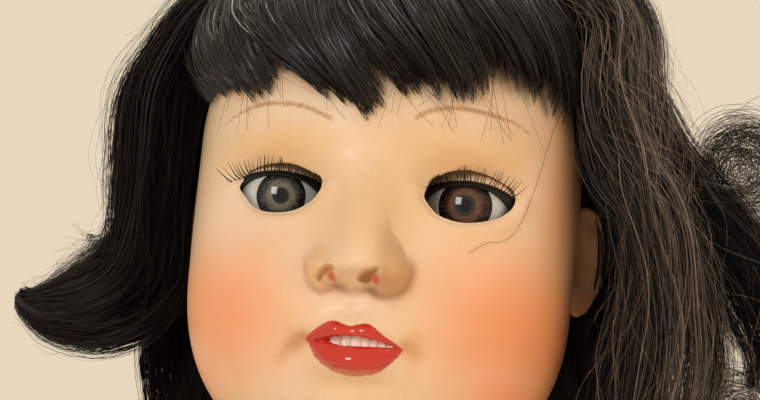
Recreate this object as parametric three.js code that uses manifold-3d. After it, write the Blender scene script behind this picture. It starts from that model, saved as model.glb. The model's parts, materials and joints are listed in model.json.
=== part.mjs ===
// A strung child doll with a bisque socket head: open crown under a wig, weighted sleep eyes,
// open mouth with a tooth row, and a jointed composition body held together by elastic.
// Millimetres, +Z up, the face looks along -Y, +X is the doll's own left. The soles stand on z = 0.
import * as THREE from "three";
import { mergeVertices } from "three/addons/utils/BufferGeometryUtils.js";
import Module from "manifold-3d";

const wasm = await Module();
wasm.setup();

// Clearances
const SEAT_GAP = 0.3; // between pieces that sit on one another
const RUN_GAP = 0.4; // between pieces that move on one another

// Body levels, each from the joint below it
const HIP_HEIGHT = 236; // hip joints above the floor
const CROTCH_DEPTH = 24; // crotch below the hip joints
const BELLY_RISE = 32; // above the hip joints
const WAIST_RISE = 70; // above the hip joints
const SHOULDER_RISE = 156; // shoulder joints above the hip joints
const CHEST_DROP = 40; // below the shoulder joints
const NECK_RISE = 40; // middle of the neck ball above the shoulder joints
const EYE_RISE = 80; // eye line above the middle of the neck ball
const BELLY_HEIGHT = HIP_HEIGHT + BELLY_RISE;
const WAIST_HEIGHT = HIP_HEIGHT + WAIST_RISE;
const SHOULDER_HEIGHT = HIP_HEIGHT + SHOULDER_RISE;
const CHEST_HEIGHT = SHOULDER_HEIGHT - CHEST_DROP;
const NECK_CENTRE = SHOULDER_HEIGHT + NECK_RISE;
const EYE_LINE = NECK_CENTRE + EYE_RISE;

// Head, measured from the eye line
const HEAD_FORWARD = 6; // the head's middle stands in front of the neck axis
const CRANIUM_HALF = new THREE.Vector3(49.5, 55, 52);
const CRANIUM_RISE = 14;
const CRANIUM_BACK = 3;
const FACE_HALF = new THREE.Vector3(49, 47, 46.5);
const FACE_DROP = 20;
const FACE_FRONT = 4;
const HEAD_BLEND = 9;
const HEAD_WALL = 6;
const NECK_RADIUS = 21;
const NECK_BALL_RADIUS = 23;
const NECK_HOLE_RADIUS = 8;
const CROWN_CUT_RISE = 42; // height of the open crown's rim above the eye line
const CROWN_CUT_TILT = 0.22; // the rim is lower at the back, in radians

// Face features
const NOSE_TOP = 12;
const NOSE_TIP_DROP = 17.5;
const NOSE_RISE = 11.5;
const NOSTRIL_WING_SPREAD = 9.6;
const MOUTH_DROP = 36.5;
const MOUTH_HALF_WIDTH = 12;
const MOUTH_SLOT_HALF_WIDTH = 8.4;
const MOUTH_SLOT_HEIGHT = 3.2;
const MOUTH_POCKET_HALF_WIDTH = 10; // wider room behind the lips for the teeth
const MOUTH_POCKET_HEIGHT = 6.4;
const EYE_SPACING = 46.8; // pupil to pupil
const EYE_OPENING_HALF_WIDTH = 11;
const EYE_OPENING_HALF_HEIGHT = 6.5;
const EYE_OPENING_RISE = 1.4; // middle of the opening above the pupil

// Sleep eyes
const EYE_RADIUS = 12.6;
const EYE_INSET = 4; // the front of the glass lies this far behind the face
const LID_THICKNESS = 0.5;
const LID_EDGE_ANGLE = 0.46; // lid edge above the pupil while open, in radians
const LID_SWEEP = 1.75; // how far the lid reaches over the ball, in radians
const LASH_BAND_ANGLE = 0.06;
const AXLE_RADIUS = 1.1;
const WEIGHT_DROP = 31; // lead weight below the eye axle
const WEIGHT_BACK = 6;
const WEIGHT_RADIUS = 5;
const WEIGHT_LENGTH = 15;
const SADDLE_SPREAD = 7.5;
const SADDLE_WIDTH = 4;
const SADDLE_RADIUS = 3.4;

// Teeth
const TOOTH_COUNT = 5;
const TOOTH_WIDTH = 2.7;
const TOOTH_THICKNESS = 1.8;
const TOOTH_INSET = 3.4; // tooth faces behind the lips

// Wig
const CAP_STANDOFF = 1.9;
const CAP_THICKNESS = 1.2;
const CROWN_HAIR = 10.5;
const FRINGE_STANDOFF = 1.6;
const FRINGE_HAIR = 6.5;
const FRINGE_SPREAD = 0.92; // half angle of the fringe round the forehead, in radians
const FRINGE_GAP_ANGLE = 0.011; // gap under the crown hair's edge, in radians
const FRINGE_END_RISE = 27; // the fringe ends this far above the eye line
const CURTAIN_HAIR = 11;
const CURTAIN_LENGTH = 88;
const CURTAIN_FRONT = 12; // the back hair starts this far behind the head's middle

// Torso
const HIP_HALF_WIDTH = 47;
const HIP_HALF_DEPTH = 35;
const WAIST_HALF_WIDTH = 42;
const WAIST_HALF_DEPTH = 32;
const CHEST_HALF_WIDTH = 44;
const CHEST_HALF_DEPTH = 33;
const SHOULDER_HALF_WIDTH = 48;
const SHOULDER_HALF_DEPTH = 28;
const NECK_RIM_RADIUS = 28;
const NECK_RIM_DROP = 4; // rim below the middle of the neck ball
const TORSO_WALL = 4;
const LEG_LINE_DROP = 4; // the torso's leg edge below the hip joint

// Arms
const SHOULDER_SPREAD = 58;
const SHOULDER_BALL_RADIUS = 15;
const ARM_HANG_ANGLE = 0.09; // arms lean outwards at rest, in radians
const UPPER_ARM_LENGTH = 78;
const UPPER_ARM_RADIUS = 13.2;
const ELBOW_BALL_RADIUS = 10.4;
const FOREARM_LENGTH = 64;
const FOREARM_RADIUS = 11;
const WRIST_BALL_RADIUS = 6.6;
const PALM_LENGTH = 25;
const FINGER_LENGTH = 19;
const FINGER_RADIUS = 2.9;

// Legs
const HIP_SPREAD = 30;
const HIP_BALL_RADIUS = 20;
const THIGH_LENGTH = 108;
const THIGH_RADIUS = 23.5;
const KNEE_BALL_RADIUS = 14.4;
const CALF_RADIUS = 16.4;
const ANKLE_RADIUS = 10.8;
const ANKLE_HEIGHT = 30;
const FOOT_LENGTH = 64;
const FOOT_HALF_WIDTH = 13;
const HEEL_BACK = 19;

// Stringing
const ELASTIC_RADIUS = 1.7;
const HOOK_WIRE_RADIUS = 1.1;
const HOOK_EYE_RADIUS = 3;
const HIP_EYE_RADIUS = 1.9;
const PIN_RADIUS = 1.1;
const BUTTON_RADIUS = 12;
const BUTTON_THICKNESS = 3;

// Cotton combinations
const CLOTH_STANDOFF = 0.5;
const CLOTH_THICKNESS = 1.8;
const NECKLINE_DROP = 34; // neckline below the shoulder joint's top
const CUFF_DROP = 45; // top of the leg cuff below the hip joint
const CUFF_LENGTH = 20;

// Mesh fineness
const HEAD_COLUMNS = 32;
const HEAD_ROWS = 22;
const WIG_COLUMNS = 24;
const WIG_ROWS = 10;
const LIMB_SIDES = 12;
const TORSO_SIDES = 16;
const BALL_SIDES = 12;
const ROD_SIDES = 6;
const FINGER_SIDES = 6;
const FAR = 200; // longer than anything that it cuts

// Materials
const finish = (color, roughness, metalness = 0) =>
  new THREE.MeshStandardMaterial({ color, roughness, metalness });
const BISQUE = finish(0xe3b283, 0.45);
const COMPOSITION = finish(0xdfae84, 0.5);
const CORK = finish(0xb08a5a, 0.9);
const PLASTER = finish(0xe9e3d6, 0.9);
const PORCELAIN = finish(0xefe9df, 0.2);
const EYE_GLASS = finish(0x4a4540, 0.08);
const LID_PAINT = finish(0xe0a070, 0.5);
const LASH_FIBRE = finish(0x16110e, 0.7);
const LEAD = finish(0x6c6f73, 0.6, 0.8);
const STEEL = finish(0x9a9da0, 0.35, 1);
const HAIR = finish(0x1c1512, 0.45);
const NET = finish(0x2a211c, 0.9);
const ELASTIC = finish(0xe8e2d2, 0.85);
const TURNED_WOOD = finish(0xb58b5c, 0.7);
const COTTON = finish(0xf3efe6, 0.9);

const v3 = (x, y, z) => new THREE.Vector3(x, y, z);
const clamp01 = (value) => Math.min(1, Math.max(0, value));
const smooth = (value) => clamp01(value) ** 2 * (3 - 2 * clamp01(value));

// Solids and meshes

/** A closed three.js geometry as a solid for joining and cutting. */
function solidOf(geometry) {
  const bare = new THREE.BufferGeometry();
  bare.setAttribute("position", geometry.getAttribute("position").clone());
  if (geometry.index) bare.setIndex(geometry.index.clone());
  const merged = mergeVertices(bare, 1e-4);
  return new wasm.Manifold(
    new wasm.Mesh({
      numProp: 3,
      vertProperties: merged.attributes.position.array,
      triVerts: new Uint32Array(merged.index.array),
    }),
  );
}

/** A solid as a three.js geometry. */
function geometryOf(solid) {
  const mesh = solid.getMesh();
  const geometry = new THREE.BufferGeometry();
  geometry.setAttribute("position", new THREE.BufferAttribute(new Float32Array(mesh.vertProperties), 3));
  geometry.setIndex(new THREE.BufferAttribute(new Uint32Array(mesh.triVerts), 1));
  geometry.computeVertexNormals();
  return geometry;
}

/** Cuts every tool out of a solid. */
const cut = (solid, ...tools) => tools.reduce((left, tool) => left.subtract(tool), solid);

/** Joins solids into one. */
const join = (first, ...others) => others.reduce((sum, other) => sum.add(other), first);

/** Adds one named piece to a group. */
function piece(group, name, material, solid) {
  const mesh = new THREE.Mesh(geometryOf(solid), material);
  mesh.name = name;
  group.add(mesh);
}

/** Triangles of points as a solid: repeated corners merge, empty faces drop out, faces turn outwards. */
function solidOfTriangles(points) {
  const soup = new THREE.BufferGeometry().setFromPoints(points);
  soup.setIndex([...points.keys()]);
  const merged = mergeVertices(soup, 1e-4);
  const place = merged.attributes.position;
  const kept = [];
  const [a, b, c] = [v3(), v3(), v3()];
  let volume = 0;
  for (let i = 0; i < merged.index.count; i += 3) {
    const [p, q, r] = [0, 1, 2].map((k) => merged.index.getX(i + k));
    if (p === q || q === r || r === p) continue;
    kept.push([p, q, r]);
    volume += a.fromBufferAttribute(place, p).dot(
      b.fromBufferAttribute(place, q).cross(c.fromBufferAttribute(place, r)));
  }
  merged.setIndex((volume < 0 ? kept.map(([p, q, r]) => [p, r, q]) : kept).flat());
  return solidOf(merged);
}

const quad = (a, b, c, d) => [a, b, c, a, c, d];

/** Rings of points, first to last, as a solid whose two ends close on a middle point. */
function ringSolid(rings, firstPole, lastPole) {
  const sides = rings[0].length;
  const points = [];
  for (let j = 0; j < sides; j++) {
    const k = (j + 1) % sides;
    points.push(firstPole, rings[0][j], rings[0][k]);
    for (let i = 0; i + 1 < rings.length; i++)
      points.push(...quad(rings[i][j], rings[i + 1][j], rings[i + 1][k], rings[i][k]));
    points.push(lastPole, rings.at(-1)[k], rings.at(-1)[j]);
  }
  return solidOfTriangles(points);
}

/** Columns of outer and inner points as a shell; wrapped columns go right round. */
function bandShell(columns, wrapped) {
  const rows = columns[0].outer.length;
  const points = [];
  columns.forEach((a, j) => {
    if (!wrapped && j + 1 === columns.length) return;
    const b = columns[(j + 1) % columns.length];
    for (let i = 0; i + 1 < rows; i++) {
      points.push(...quad(a.outer[i], a.outer[i + 1], b.outer[i + 1], b.outer[i]));
      points.push(...quad(a.inner[i], b.inner[i], b.inner[i + 1], a.inner[i + 1]));
    }
    points.push(...quad(b.outer[0], b.inner[0], a.inner[0], a.outer[0]));
    points.push(...quad(a.outer.at(-1), a.inner.at(-1), b.inner.at(-1), b.outer.at(-1)));
  });
  if (!wrapped) {
    const [first, last] = [columns[0], columns.at(-1)];
    for (let i = 0; i + 1 < rows; i++) {
      points.push(...quad(first.inner[i], first.inner[i + 1], first.outer[i + 1], first.outer[i]));
      points.push(...quad(last.outer[i], last.outer[i + 1], last.inner[i + 1], last.inner[i]));
    }
  }
  return solidOfTriangles(points);
}

/** A limb or trunk: ellipses { z, rx, ry, x, y } from top to bottom, smoothed between the ones given. */
function taper(stations, sides, steps) {
  const round = new THREE.CatmullRomCurve3(stations.map((s) => v3(s.rx, s.ry, s.z)), false, "catmullrom");
  const drift = new THREE.CatmullRomCurve3(
    stations.map((s) => v3(s.x ?? 0, s.y ?? 0, s.z)), false, "catmullrom");
  const rings = [];
  for (let i = 0; i <= steps; i++) {
    const size = round.getPoint(i / steps);
    const middle = drift.getPoint(i / steps);
    rings.push(Array.from({ length: sides }, (_, j) => {
      const turn = (j / sides) * 2 * Math.PI;
      return v3(middle.x + size.x * Math.cos(turn), middle.y + size.y * Math.sin(turn), size.z);
    }));
  }
  const pole = (s) => v3(s.x ?? 0, s.y ?? 0, s.z);
  return ringSolid(rings, pole(stations[0]), pole(stations.at(-1)));
}

/** A lock of hair along a path: { at, thick, wide }, wide lying along +Y; grow swells it all over. */
function lock(stations, sides, steps, grow = 0) {
  const path = new THREE.CatmullRomCurve3(stations.map((s) => s.at), false, "catmullrom");
  const sizes = new THREE.CatmullRomCurve3(
    stations.map((s) => v3(s.thick, s.wide, 0)), false, "catmullrom");
  const rings = [];
  for (let i = 0; i <= steps; i++) {
    const t = i / steps;
    const along = path.getTangent(t);
    const wide = v3(0, 1, 0).addScaledVector(along, -along.y).normalize();
    const thick = new THREE.Vector3().crossVectors(along, wide);
    const size = sizes.getPoint(t);
    const middle = path.getPoint(t);
    rings.push(Array.from({ length: sides }, (_, j) => {
      const turn = (j / sides) * 2 * Math.PI;
      return middle.clone()
        .addScaledVector(thick, (size.x + grow) * Math.cos(turn))
        .addScaledVector(wide, (size.y + grow) * Math.sin(turn));
    }));
  }
  const end = (s, t) => s.at.clone().addScaledVector(path.getTangent(t), t ? grow : -grow);
  return ringSolid(rings, end(stations[0], 0), end(stations.at(-1), 1));
}

const moved = (solid, x, y, z) => solid.translate([x, y, z]);
const boxSolid = (x0, x1, y0, y1, z0, z1) =>
  moved(solidOf(new THREE.BoxGeometry(x1 - x0, y1 - y0, z1 - z0)), (x0 + x1) / 2, (y0 + y1) / 2, (z0 + z1) / 2);
const ballSolid = (radius, sides = BALL_SIDES) =>
  solidOf(new THREE.SphereGeometry(radius, sides, sides / 2));

/** A ball that clears a faceted ball of the given radius wherever it turns. */
function socketSolid(radius, extra = 0, sides = BALL_SIDES) {
  const flat = Math.cos(Math.PI / sides) ** 2;
  return ballSolid((radius + RUN_GAP) / flat + extra, sides);
}

/** A round rod between two points on one axis: "x", "y" or "z". */
function rod(axis, radius, from, to, sides = ROD_SIDES) {
  const geometry = new THREE.CylinderGeometry(radius, radius, to - from, sides);
  geometry.translate(0, (from + to) / 2, 0);
  if (axis === "x") geometry.rotateZ(-Math.PI / 2);
  if (axis === "z") geometry.rotateX(Math.PI / 2);
  return solidOf(geometry);
}

/** A tube along a smooth path. */
function tube(points, radius, steps) {
  const circle = new THREE.Shape().absarc(0, 0, radius, 0, 2 * Math.PI);
  const extrudePath = new THREE.CatmullRomCurve3(points);
  return solidOf(new THREE.ExtrudeGeometry(circle, { steps, extrudePath, bevelEnabled: false, curveSegments: ROD_SIDES / 2 }));
}

/** A wire eye round the x axis of its own plane, in the y-z plane. */
const wireEye = (radius) =>
  solidOf(new THREE.TorusGeometry(radius, HOOK_WIRE_RADIUS, 5, 8).rotateY(Math.PI / 2));

// Head form: a field that is negative inside, in head coordinates (x, y, height above the eye line)

const NECK_AXIS = HEAD_FORWARD; // y of the neck axis in head coordinates
const NECK_DROP = EYE_RISE;
const RAY_DROP = 18; // rays leave the neck axis this far below the eye line
const NECK_RING_DROP = NECK_DROP - Math.sqrt(NECK_BALL_RADIUS ** 2 - NECK_RADIUS ** 2) - 2;
const NECK_RING_ANGLE = Math.PI - Math.atan2(NECK_RADIUS, NECK_RING_DROP - RAY_DROP);

function roundedBody(p, centre, half, power) {
  const sum = Math.abs((p.x - centre.x) / half.x) ** power
    + Math.abs((p.y - centre.y) / half.y) ** power
    + Math.abs((p.z - centre.z) / half.z) ** power;
  return (sum ** (1 / power) - 1) * Math.min(half.x, half.y, half.z);
}

function blended(a, b, width) {
  const near = Math.max(width - Math.abs(a - b), 0) / width;
  return Math.min(a, b) - near * near * width * 0.25;
}

const CRANIUM = { centre: v3(0, CRANIUM_BACK, CRANIUM_RISE), half: CRANIUM_HALF, power: 2.1 };
const FACE = { centre: v3(0, -FACE_FRONT, -FACE_DROP), half: FACE_HALF, power: 2.35 };

/** The plain head and neck without features. */
function plainHead(p) {
  const skull = blended(
    roundedBody(p, CRANIUM.centre, CRANIUM.half, CRANIUM.power),
    roundedBody(p, FACE.centre, FACE.half, FACE.power), HEAD_BLEND);
  const neck = Math.max(Math.hypot(p.x, p.y - NECK_AXIS) - NECK_RADIUS, p.z + FACE_DROP);
  return blended(skull, neck, HEAD_BLEND);
}

// Mounds and hollows of the face: place, reach and rise; both sides where they lie off the middle
const FACE_MOUNDS = [
  { x: EYE_SPACING / 2, z: 1, wide: 13, tall: 9, rise: -2.6 },
  { x: 0, z: 12, wide: 9, tall: 10, rise: -0.8 },
  { x: 27, z: -24, wide: 16, tall: 14, rise: 1.8 },
  { x: NOSTRIL_WING_SPREAD, z: -NOSE_TIP_DROP - 3, wide: 3.8, tall: 4.4, rise: 4.6 },
  { x: 4.6, z: -NOSE_TIP_DROP - 5.5, wide: 2.2, tall: 1.8, rise: -2.4 },
  { x: 0, z: -MOUTH_DROP + 1, wide: 15, tall: 11, rise: 2.2 },
  { x: MOUTH_HALF_WIDTH * 0.33, z: -MOUTH_DROP + 3.2, wide: 5, tall: 2.6, rise: 1.8 },
  { x: 0, z: -MOUTH_DROP - 5, wide: 7.5, tall: 3, rise: 2.8 },
  { x: 0, z: -MOUTH_DROP - 10.5, wide: 9, tall: 2.6, rise: -1.4 },
  { x: MOUTH_HALF_WIDTH + 3.5, z: -MOUTH_DROP - 1, wide: 3, tall: 4.5, rise: -1.4 },
  { x: 0, z: -MOUTH_DROP - 18, wide: 11, tall: 8, rise: 2.6 },
];

function noseRise(x, z) {
  const run = clamp01((NOSE_TOP - z) / (NOSE_TOP + NOSE_TIP_DROP));
  const below = Math.max(0, -NOSE_TIP_DROP - z);
  const reach = 4.6 + 3.4 * run;
  return NOSE_RISE * run ** 1.7 * Math.exp(-((below / 4.4) ** 3)) * Math.exp(-((Math.abs(x) / reach) ** 2.4));
}

function faceRise(x, z) {
  const mounds = FACE_MOUNDS.reduce((sum, m) => {
    const one = (side) => Math.exp(-(((x - side * m.x) / m.wide) ** 2) - ((z - m.z) / m.tall) ** 2);
    return sum + m.rise * (m.x ? one(1) + one(-1) : one(1));
  }, 0);
  return mounds + noseRise(x, z);
}

// Ears: a flat shell behind each cheek
const EAR = { centre: v3(47.5, 9, -6), half: v3(5, 8, 13.5) };

/** The head without ears, for the layers of the wig. */
function scalpField(p) {
  return plainHead(p) - smooth((-p.y - 12) / 22) * faceRise(p.x, p.z);
}

function headField(p) {
  const ear = roundedBody(v3(Math.abs(p.x), p.y, p.z), EAR.centre, EAR.half, 2);
  return blended(scalpField(p), ear, 3);
}

/** Distance from the ray's start to a field's surface. */
function reachOf(field, direction) {
  let [near, far] = [4, 130];
  for (let i = 0; i < 30; i++) {
    const middle = (near + far) / 2;
    const p = v3(direction.x * middle, NECK_AXIS + direction.y * middle, direction.z * middle - RAY_DROP);
    if (field(p) < 0) near = middle;
    else far = middle;
  }
  return near;
}

/** Direction at an angle from straight up, turned from straight ahead towards the doll's left. */
const direction = (tilt, turn) =>
  v3(Math.sin(tilt) * Math.sin(turn), -Math.sin(tilt) * Math.cos(turn), Math.cos(tilt));

/** A point of the head, or standing off it. */
function headPoint(tilt, turn, standoff = 0, field = headField) {
  const d = direction(tilt, turn);
  const r = reachOf(field, d) + standoff;
  return v3(d.x * r, NECK_AXIS + d.y * r, d.z * r - RAY_DROP);
}

/** y of the face at a place seen from the front. */
function faceFront(x, z) {
  let [near, far] = [0, -90];
  for (let i = 0; i < 30; i++) {
    const middle = (near + far) / 2;
    if (headField(v3(x, middle, z)) < 0) near = middle;
    else far = middle;
  }
  return near;
}

/** The head as a solid: rows from the crown to the neck, then the ball at the foot of the neck. */
function headSolid(columns, rows, standoff, field, neckRadius, ballRadius) {
  const turns = Array.from({ length: columns }, (_, j) => {
    const t = (2 * j) / columns - 1;
    return Math.PI * (0.5 * t + 0.5 * t ** 3);
  });
  const rings = [];
  for (let i = 1; i <= rows; i++) {
    const share = i / rows;
    const tilt = NECK_RING_ANGLE * (share + 0.06 * Math.sin(2 * Math.PI * share));
    rings.push(turns.map((turn) => headPoint(tilt, turn, standoff, field)));
  }
  rings[rows - 1] = turns.map((turn) =>
    v3(neckRadius * Math.sin(turn), NECK_AXIS - neckRadius * Math.cos(turn), -NECK_RING_DROP));
  const ballRows = 7;
  const first = Math.asin(neckRadius / ballRadius);
  for (let i = 0; i < ballRows; i++) {
    const tilt = first + ((Math.PI - first) * i) / ballRows;
    const r = ballRadius * Math.sin(tilt);
    rings.push(turns.map((turn) =>
      v3(r * Math.sin(turn), NECK_AXIS - r * Math.cos(turn), ballRadius * Math.cos(tilt) - NECK_DROP)));
  }
  return ringSolid(rings, headPoint(0, 0, standoff, field), v3(0, NECK_AXIS, -NECK_DROP - ballRadius));
}

// Places shared by the eyes, their seats and the openings
const EYE_X = EYE_SPACING / 2;
const EYE_Y = faceFront(EYE_X, 0) + EYE_INSET + EYE_RADIUS;
const LID_INNER = EYE_RADIUS + SEAT_GAP;
const LID_OUTER = LID_INNER + LID_THICKNESS;
const LIPS_Y = faceFront(0, -MOUTH_DROP);

/** Everything above the crown's rim, lifted by an amount. */
function aboveCrown(lift) {
  return moved(boxSolid(-FAR, FAR, -FAR, FAR, 0, FAR).rotate([-THREE.MathUtils.radToDeg(CROWN_CUT_TILT), 0, 0]),
    0, 0, CROWN_CUT_RISE + lift);
}

/** Prism along y through an outline seen from the front. */
function throughFace(shape, y0, y1) {
  const prism = new THREE.ExtrudeGeometry(shape, { depth: y1 - y0, bevelEnabled: false, curveSegments: 10 });
  prism.rotateX(Math.PI / 2);
  return moved(solidOf(prism), 0, y1, 0);
}

function almond(halfWidth, halfHeight) {
  const outline = new THREE.Shape().moveTo(-halfWidth, 0);
  outline.bezierCurveTo(-halfWidth * 0.75, halfHeight * 1.2, halfWidth * 0.55, halfHeight * 1.45, halfWidth, 0);
  outline.bezierCurveTo(halfWidth * 0.6, -halfHeight * 1.3, -halfWidth * 0.6, -halfHeight * 1.3, -halfWidth, 0);
  return outline;
}

function slot(halfWidth, height) {
  const outline = new THREE.Shape().moveTo(-halfWidth, 0);
  outline.quadraticCurveTo(0, height, halfWidth, 0);
  outline.quadraticCurveTo(0, -height, -halfWidth, 0);
  return outline;
}

function buildHead() {
  const outer = headSolid(HEAD_COLUMNS, HEAD_ROWS, 0, headField, NECK_RADIUS, NECK_BALL_RADIUS);
  const wall = HEAD_WALL - 1;
  const cavity = headSolid(WIG_COLUMNS, WIG_ROWS, -HEAD_WALL, plainHead, NECK_RADIUS - wall, NECK_BALL_RADIUS - wall);
  const neckHole = moved(rod("z", NECK_HOLE_RADIUS, -NECK_DROP - FAR, -NECK_DROP, BALL_SIDES), 0, NECK_AXIS, 0);
  const opening = almond(EYE_OPENING_HALF_WIDTH, EYE_OPENING_HALF_HEIGHT);
  const eyeCuts = [-1, 1].flatMap((side) => [
    moved(throughFace(opening, -FAR, EYE_Y), side * EYE_X, 0, EYE_OPENING_RISE),
    moved(socketSolid(LID_OUTER), side * EYE_X, EYE_Y, 0),
  ]);
  const mouthEnd = LIPS_Y + HEAD_WALL * 3;
  const pocketFront = LIPS_Y + TOOTH_INSET - TOOTH_THICKNESS / 2 - SEAT_GAP;
  const mouthCut = moved(join(
    throughFace(slot(MOUTH_SLOT_HALF_WIDTH, MOUTH_SLOT_HEIGHT), -FAR, mouthEnd),
    throughFace(slot(MOUTH_POCKET_HALF_WIDTH, MOUTH_POCKET_HEIGHT), pocketFront, mouthEnd)), 0, 0, -MOUTH_DROP);
  const head = new THREE.Group();
  head.position.set(0, -HEAD_FORWARD, EYE_LINE);
  piece(head, "head_shell", BISQUE, cut(outer, cavity, aboveCrown(0), neckHole, mouthCut, ...eyeCuts));

  const lid = cut(outer.intersect(aboveCrown(SEAT_GAP)), cavity);
  piece(head, "crown_pate", CORK, lid);
  buildTeeth(head);
  buildEyes(head, cavity);
  buildWig(head);
  return head;
}

/** One strip of small rounded teeth under the roof of the mouth pocket. */
function buildTeeth(head) {
  const y = LIPS_Y + TOOTH_INSET;
  const roof = (x) => (MOUTH_POCKET_HEIGHT / 2) * (1 - (x / MOUTH_POCKET_HALF_WIDTH) ** 2) - SEAT_GAP;
  const foot = -MOUTH_SLOT_HEIGHT * 0.25;
  const teeth = Array.from({ length: TOOTH_COUNT }, (_, i) => {
    const x = (i - (TOOTH_COUNT - 1) / 2) * TOOTH_WIDTH;
    const top = roof(Math.abs(x) + TOOTH_WIDTH / 2);
    const crown = new THREE.CylinderGeometry(TOOTH_THICKNESS / 2, TOOTH_THICKNESS / 2, top - foot, ROD_SIDES);
    crown.rotateX(Math.PI / 2).scale((TOOTH_WIDTH / TOOTH_THICKNESS) * 1.04, 1, 1);
    return moved(solidOf(crown), x, y, (top + foot) / 2);
  });
  const gumHalf = TOOTH_WIDTH * 1.6;
  const gum = boxSolid(-gumHalf, gumHalf, y, y + TOOTH_THICKNESS, 0, roof(gumHalf));
  piece(head, "teeth", PORCELAIN, moved(join(gum, ...teeth), 0, 0, -MOUTH_DROP));
}

/** Wedge of space about the x axis between two angles above straight ahead. */
function lidWedge(from, to) {
  const outline = new THREE.Shape().moveTo(0, 0);
  const reach = EYE_RADIUS * 3;
  const steps = 4;
  for (let i = 0; i <= steps; i++) {
    const angle = from + ((to - from) * i) / steps;
    outline.lineTo(-reach * Math.cos(angle), reach * Math.sin(angle));
  }
  const prism = new THREE.ExtrudeGeometry(outline, { depth: EYE_RADIUS * 4, bevelEnabled: false });
  prism.translate(0, 0, -EYE_RADIUS * 2);
  return solidOf(prism.applyMatrix4(new THREE.Matrix4().makeBasis(v3(0, 1, 0), v3(0, 0, 1), v3(1, 0, 0))));
}

/** The rocking eyes, their axle, lead weight and the plaster saddles that carry the axle. */
function buildEyes(head, cavity) {
  const shell = cut(ballSolid(LID_OUTER), ballSolid(LID_INNER), rod("x", AXLE_RADIUS + 1.5, -FAR, FAR));
  const bandTop = LID_EDGE_ANGLE - SEAT_GAP / LID_OUTER;
  const lid = shell.intersect(lidWedge(LID_EDGE_ANGLE, LID_EDGE_ANGLE + LID_SWEEP));
  const band = shell.intersect(lidWedge(bandTop - LASH_BAND_ANGLE, bandTop));
  const eyes = new THREE.Group();
  eyes.position.set(0, EYE_Y, 0);
  for (const [side, word] of [[1, "left"], [-1, "right"]]) {
    piece(eyes, `eyeball_${word}`, EYE_GLASS, moved(ballSolid(EYE_RADIUS), side * EYE_X, 0, 0));
    piece(eyes, `eyelid_${word}`, LID_PAINT, moved(lid, side * EYE_X, 0, 0));
    piece(eyes, `lash_band_${word}`, LASH_FIBRE, moved(band, side * EYE_X, 0, 0));
  }
  const axleHalf = EYE_X - EYE_RADIUS - SEAT_GAP;
  const leverEnd = v3(0, WEIGHT_BACK, -WEIGHT_DROP + WEIGHT_LENGTH / 2 - SEAT_GAP);
  const lever = tube([v3(0, 0, 0), v3(0, WEIGHT_BACK * 0.8, -WEIGHT_DROP * 0.25), leverEnd.clone().setZ(leverEnd.z + 4), v3(0, WEIGHT_BACK, leverEnd.z + SEAT_GAP * 2)],
    AXLE_RADIUS, 6);
  piece(eyes, "eye_axle", STEEL, join(rod("x", AXLE_RADIUS, -axleHalf, axleHalf), lever));
  const slug = new THREE.CapsuleGeometry(WEIGHT_RADIUS, WEIGHT_LENGTH - 2 * WEIGHT_RADIUS, 3, ROD_SIDES + 2);
  slug.rotateX(Math.PI / 2);
  piece(eyes, "eye_weight", LEAD, moved(solidOf(slug), 0, WEIGHT_BACK, -WEIGHT_DROP));
  head.add(eyes);

  const bore = moved(rod("x", AXLE_RADIUS + RUN_GAP, -FAR, FAR), 0, EYE_Y, 0);
  for (const [side, word] of [[1, "left"], [-1, "right"]]) {
    const x0 = side * SADDLE_SPREAD - SADDLE_WIDTH / 2;
    const block = join(
      moved(rod("x", SADDLE_RADIUS, x0, x0 + SADDLE_WIDTH), 0, EYE_Y, 0),
      boxSolid(x0, x0 + SADDLE_WIDTH, EYE_Y - FAR, EYE_Y, -SADDLE_RADIUS, SADDLE_RADIUS));
    const clear = moved(socketSolid(LID_OUTER), side * EYE_X, EYE_Y, 0);
    const saddle = cut(block, bore, clear).intersect(moved(cavity, 0, SEAT_GAP, 0));
    piece(head, `eye_saddle_${word}`, PLASTER, saddle);
  }
}

// Wig

/** Hairline: how far the hair reaches down from the crown at each turn, in radians. */
const hairline = (turn) => 1.17 - 0.73 * Math.cos(turn) + 0.16 * Math.cos(2 * turn);

/** A layer of the wig from the crown to the hairline and a little beyond; outer is its top at a share of the way. */
function wigLayer(inner, outer, beyond = 0) {
  const columns = Array.from({ length: WIG_COLUMNS }, (_, j) => {
    const turn = (j / WIG_COLUMNS) * 2 * Math.PI;
    const tilts = Array.from({ length: WIG_ROWS + 1 }, (_, i) => (hairline(turn) * i) / WIG_ROWS);
    if (beyond) tilts.push(hairline(turn) + beyond);
    return {
      outer: tilts.map((tilt, i) => headPoint(tilt, turn, outer(i / WIG_ROWS), scalpField)),
      inner: tilts.map((tilt) => headPoint(tilt, turn, inner, scalpField)),
    };
  });
  return bandShell(columns, true);
}

/** Straight fringe hanging over the forehead. */
function fringeSolid() {
  const across = 14;
  const rows = 5;
  const columns = Array.from({ length: across + 1 }, (_, j) => {
    const turn = FRINGE_SPREAD * ((2 * j) / across - 1);
    const top = hairline(turn) + FRINGE_GAP_ANGLE;
    const level = FRINGE_END_RISE + RAY_DROP;
    const reach = Math.hypot(CRANIUM_HALF.y, level) + FRINGE_STANDOFF;
    const end = Math.acos(level / reach) - 0.1 * (turn / FRINGE_SPREAD) ** 2;
    const tilts = Array.from({ length: rows + 1 }, (_, i) => top + ((end - top) * i) / rows);
    const thick = (i) => FRINGE_STANDOFF + FRINGE_HAIR * (1 - 0.45 * smooth(i / rows));
    return {
      outer: tilts.map((tilt, i) => headPoint(tilt, turn, thick(i))),
      inner: tilts.map((tilt) => headPoint(tilt, turn, FRINGE_STANDOFF)),
    };
  });
  return bandShell(columns, false);
}

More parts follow.
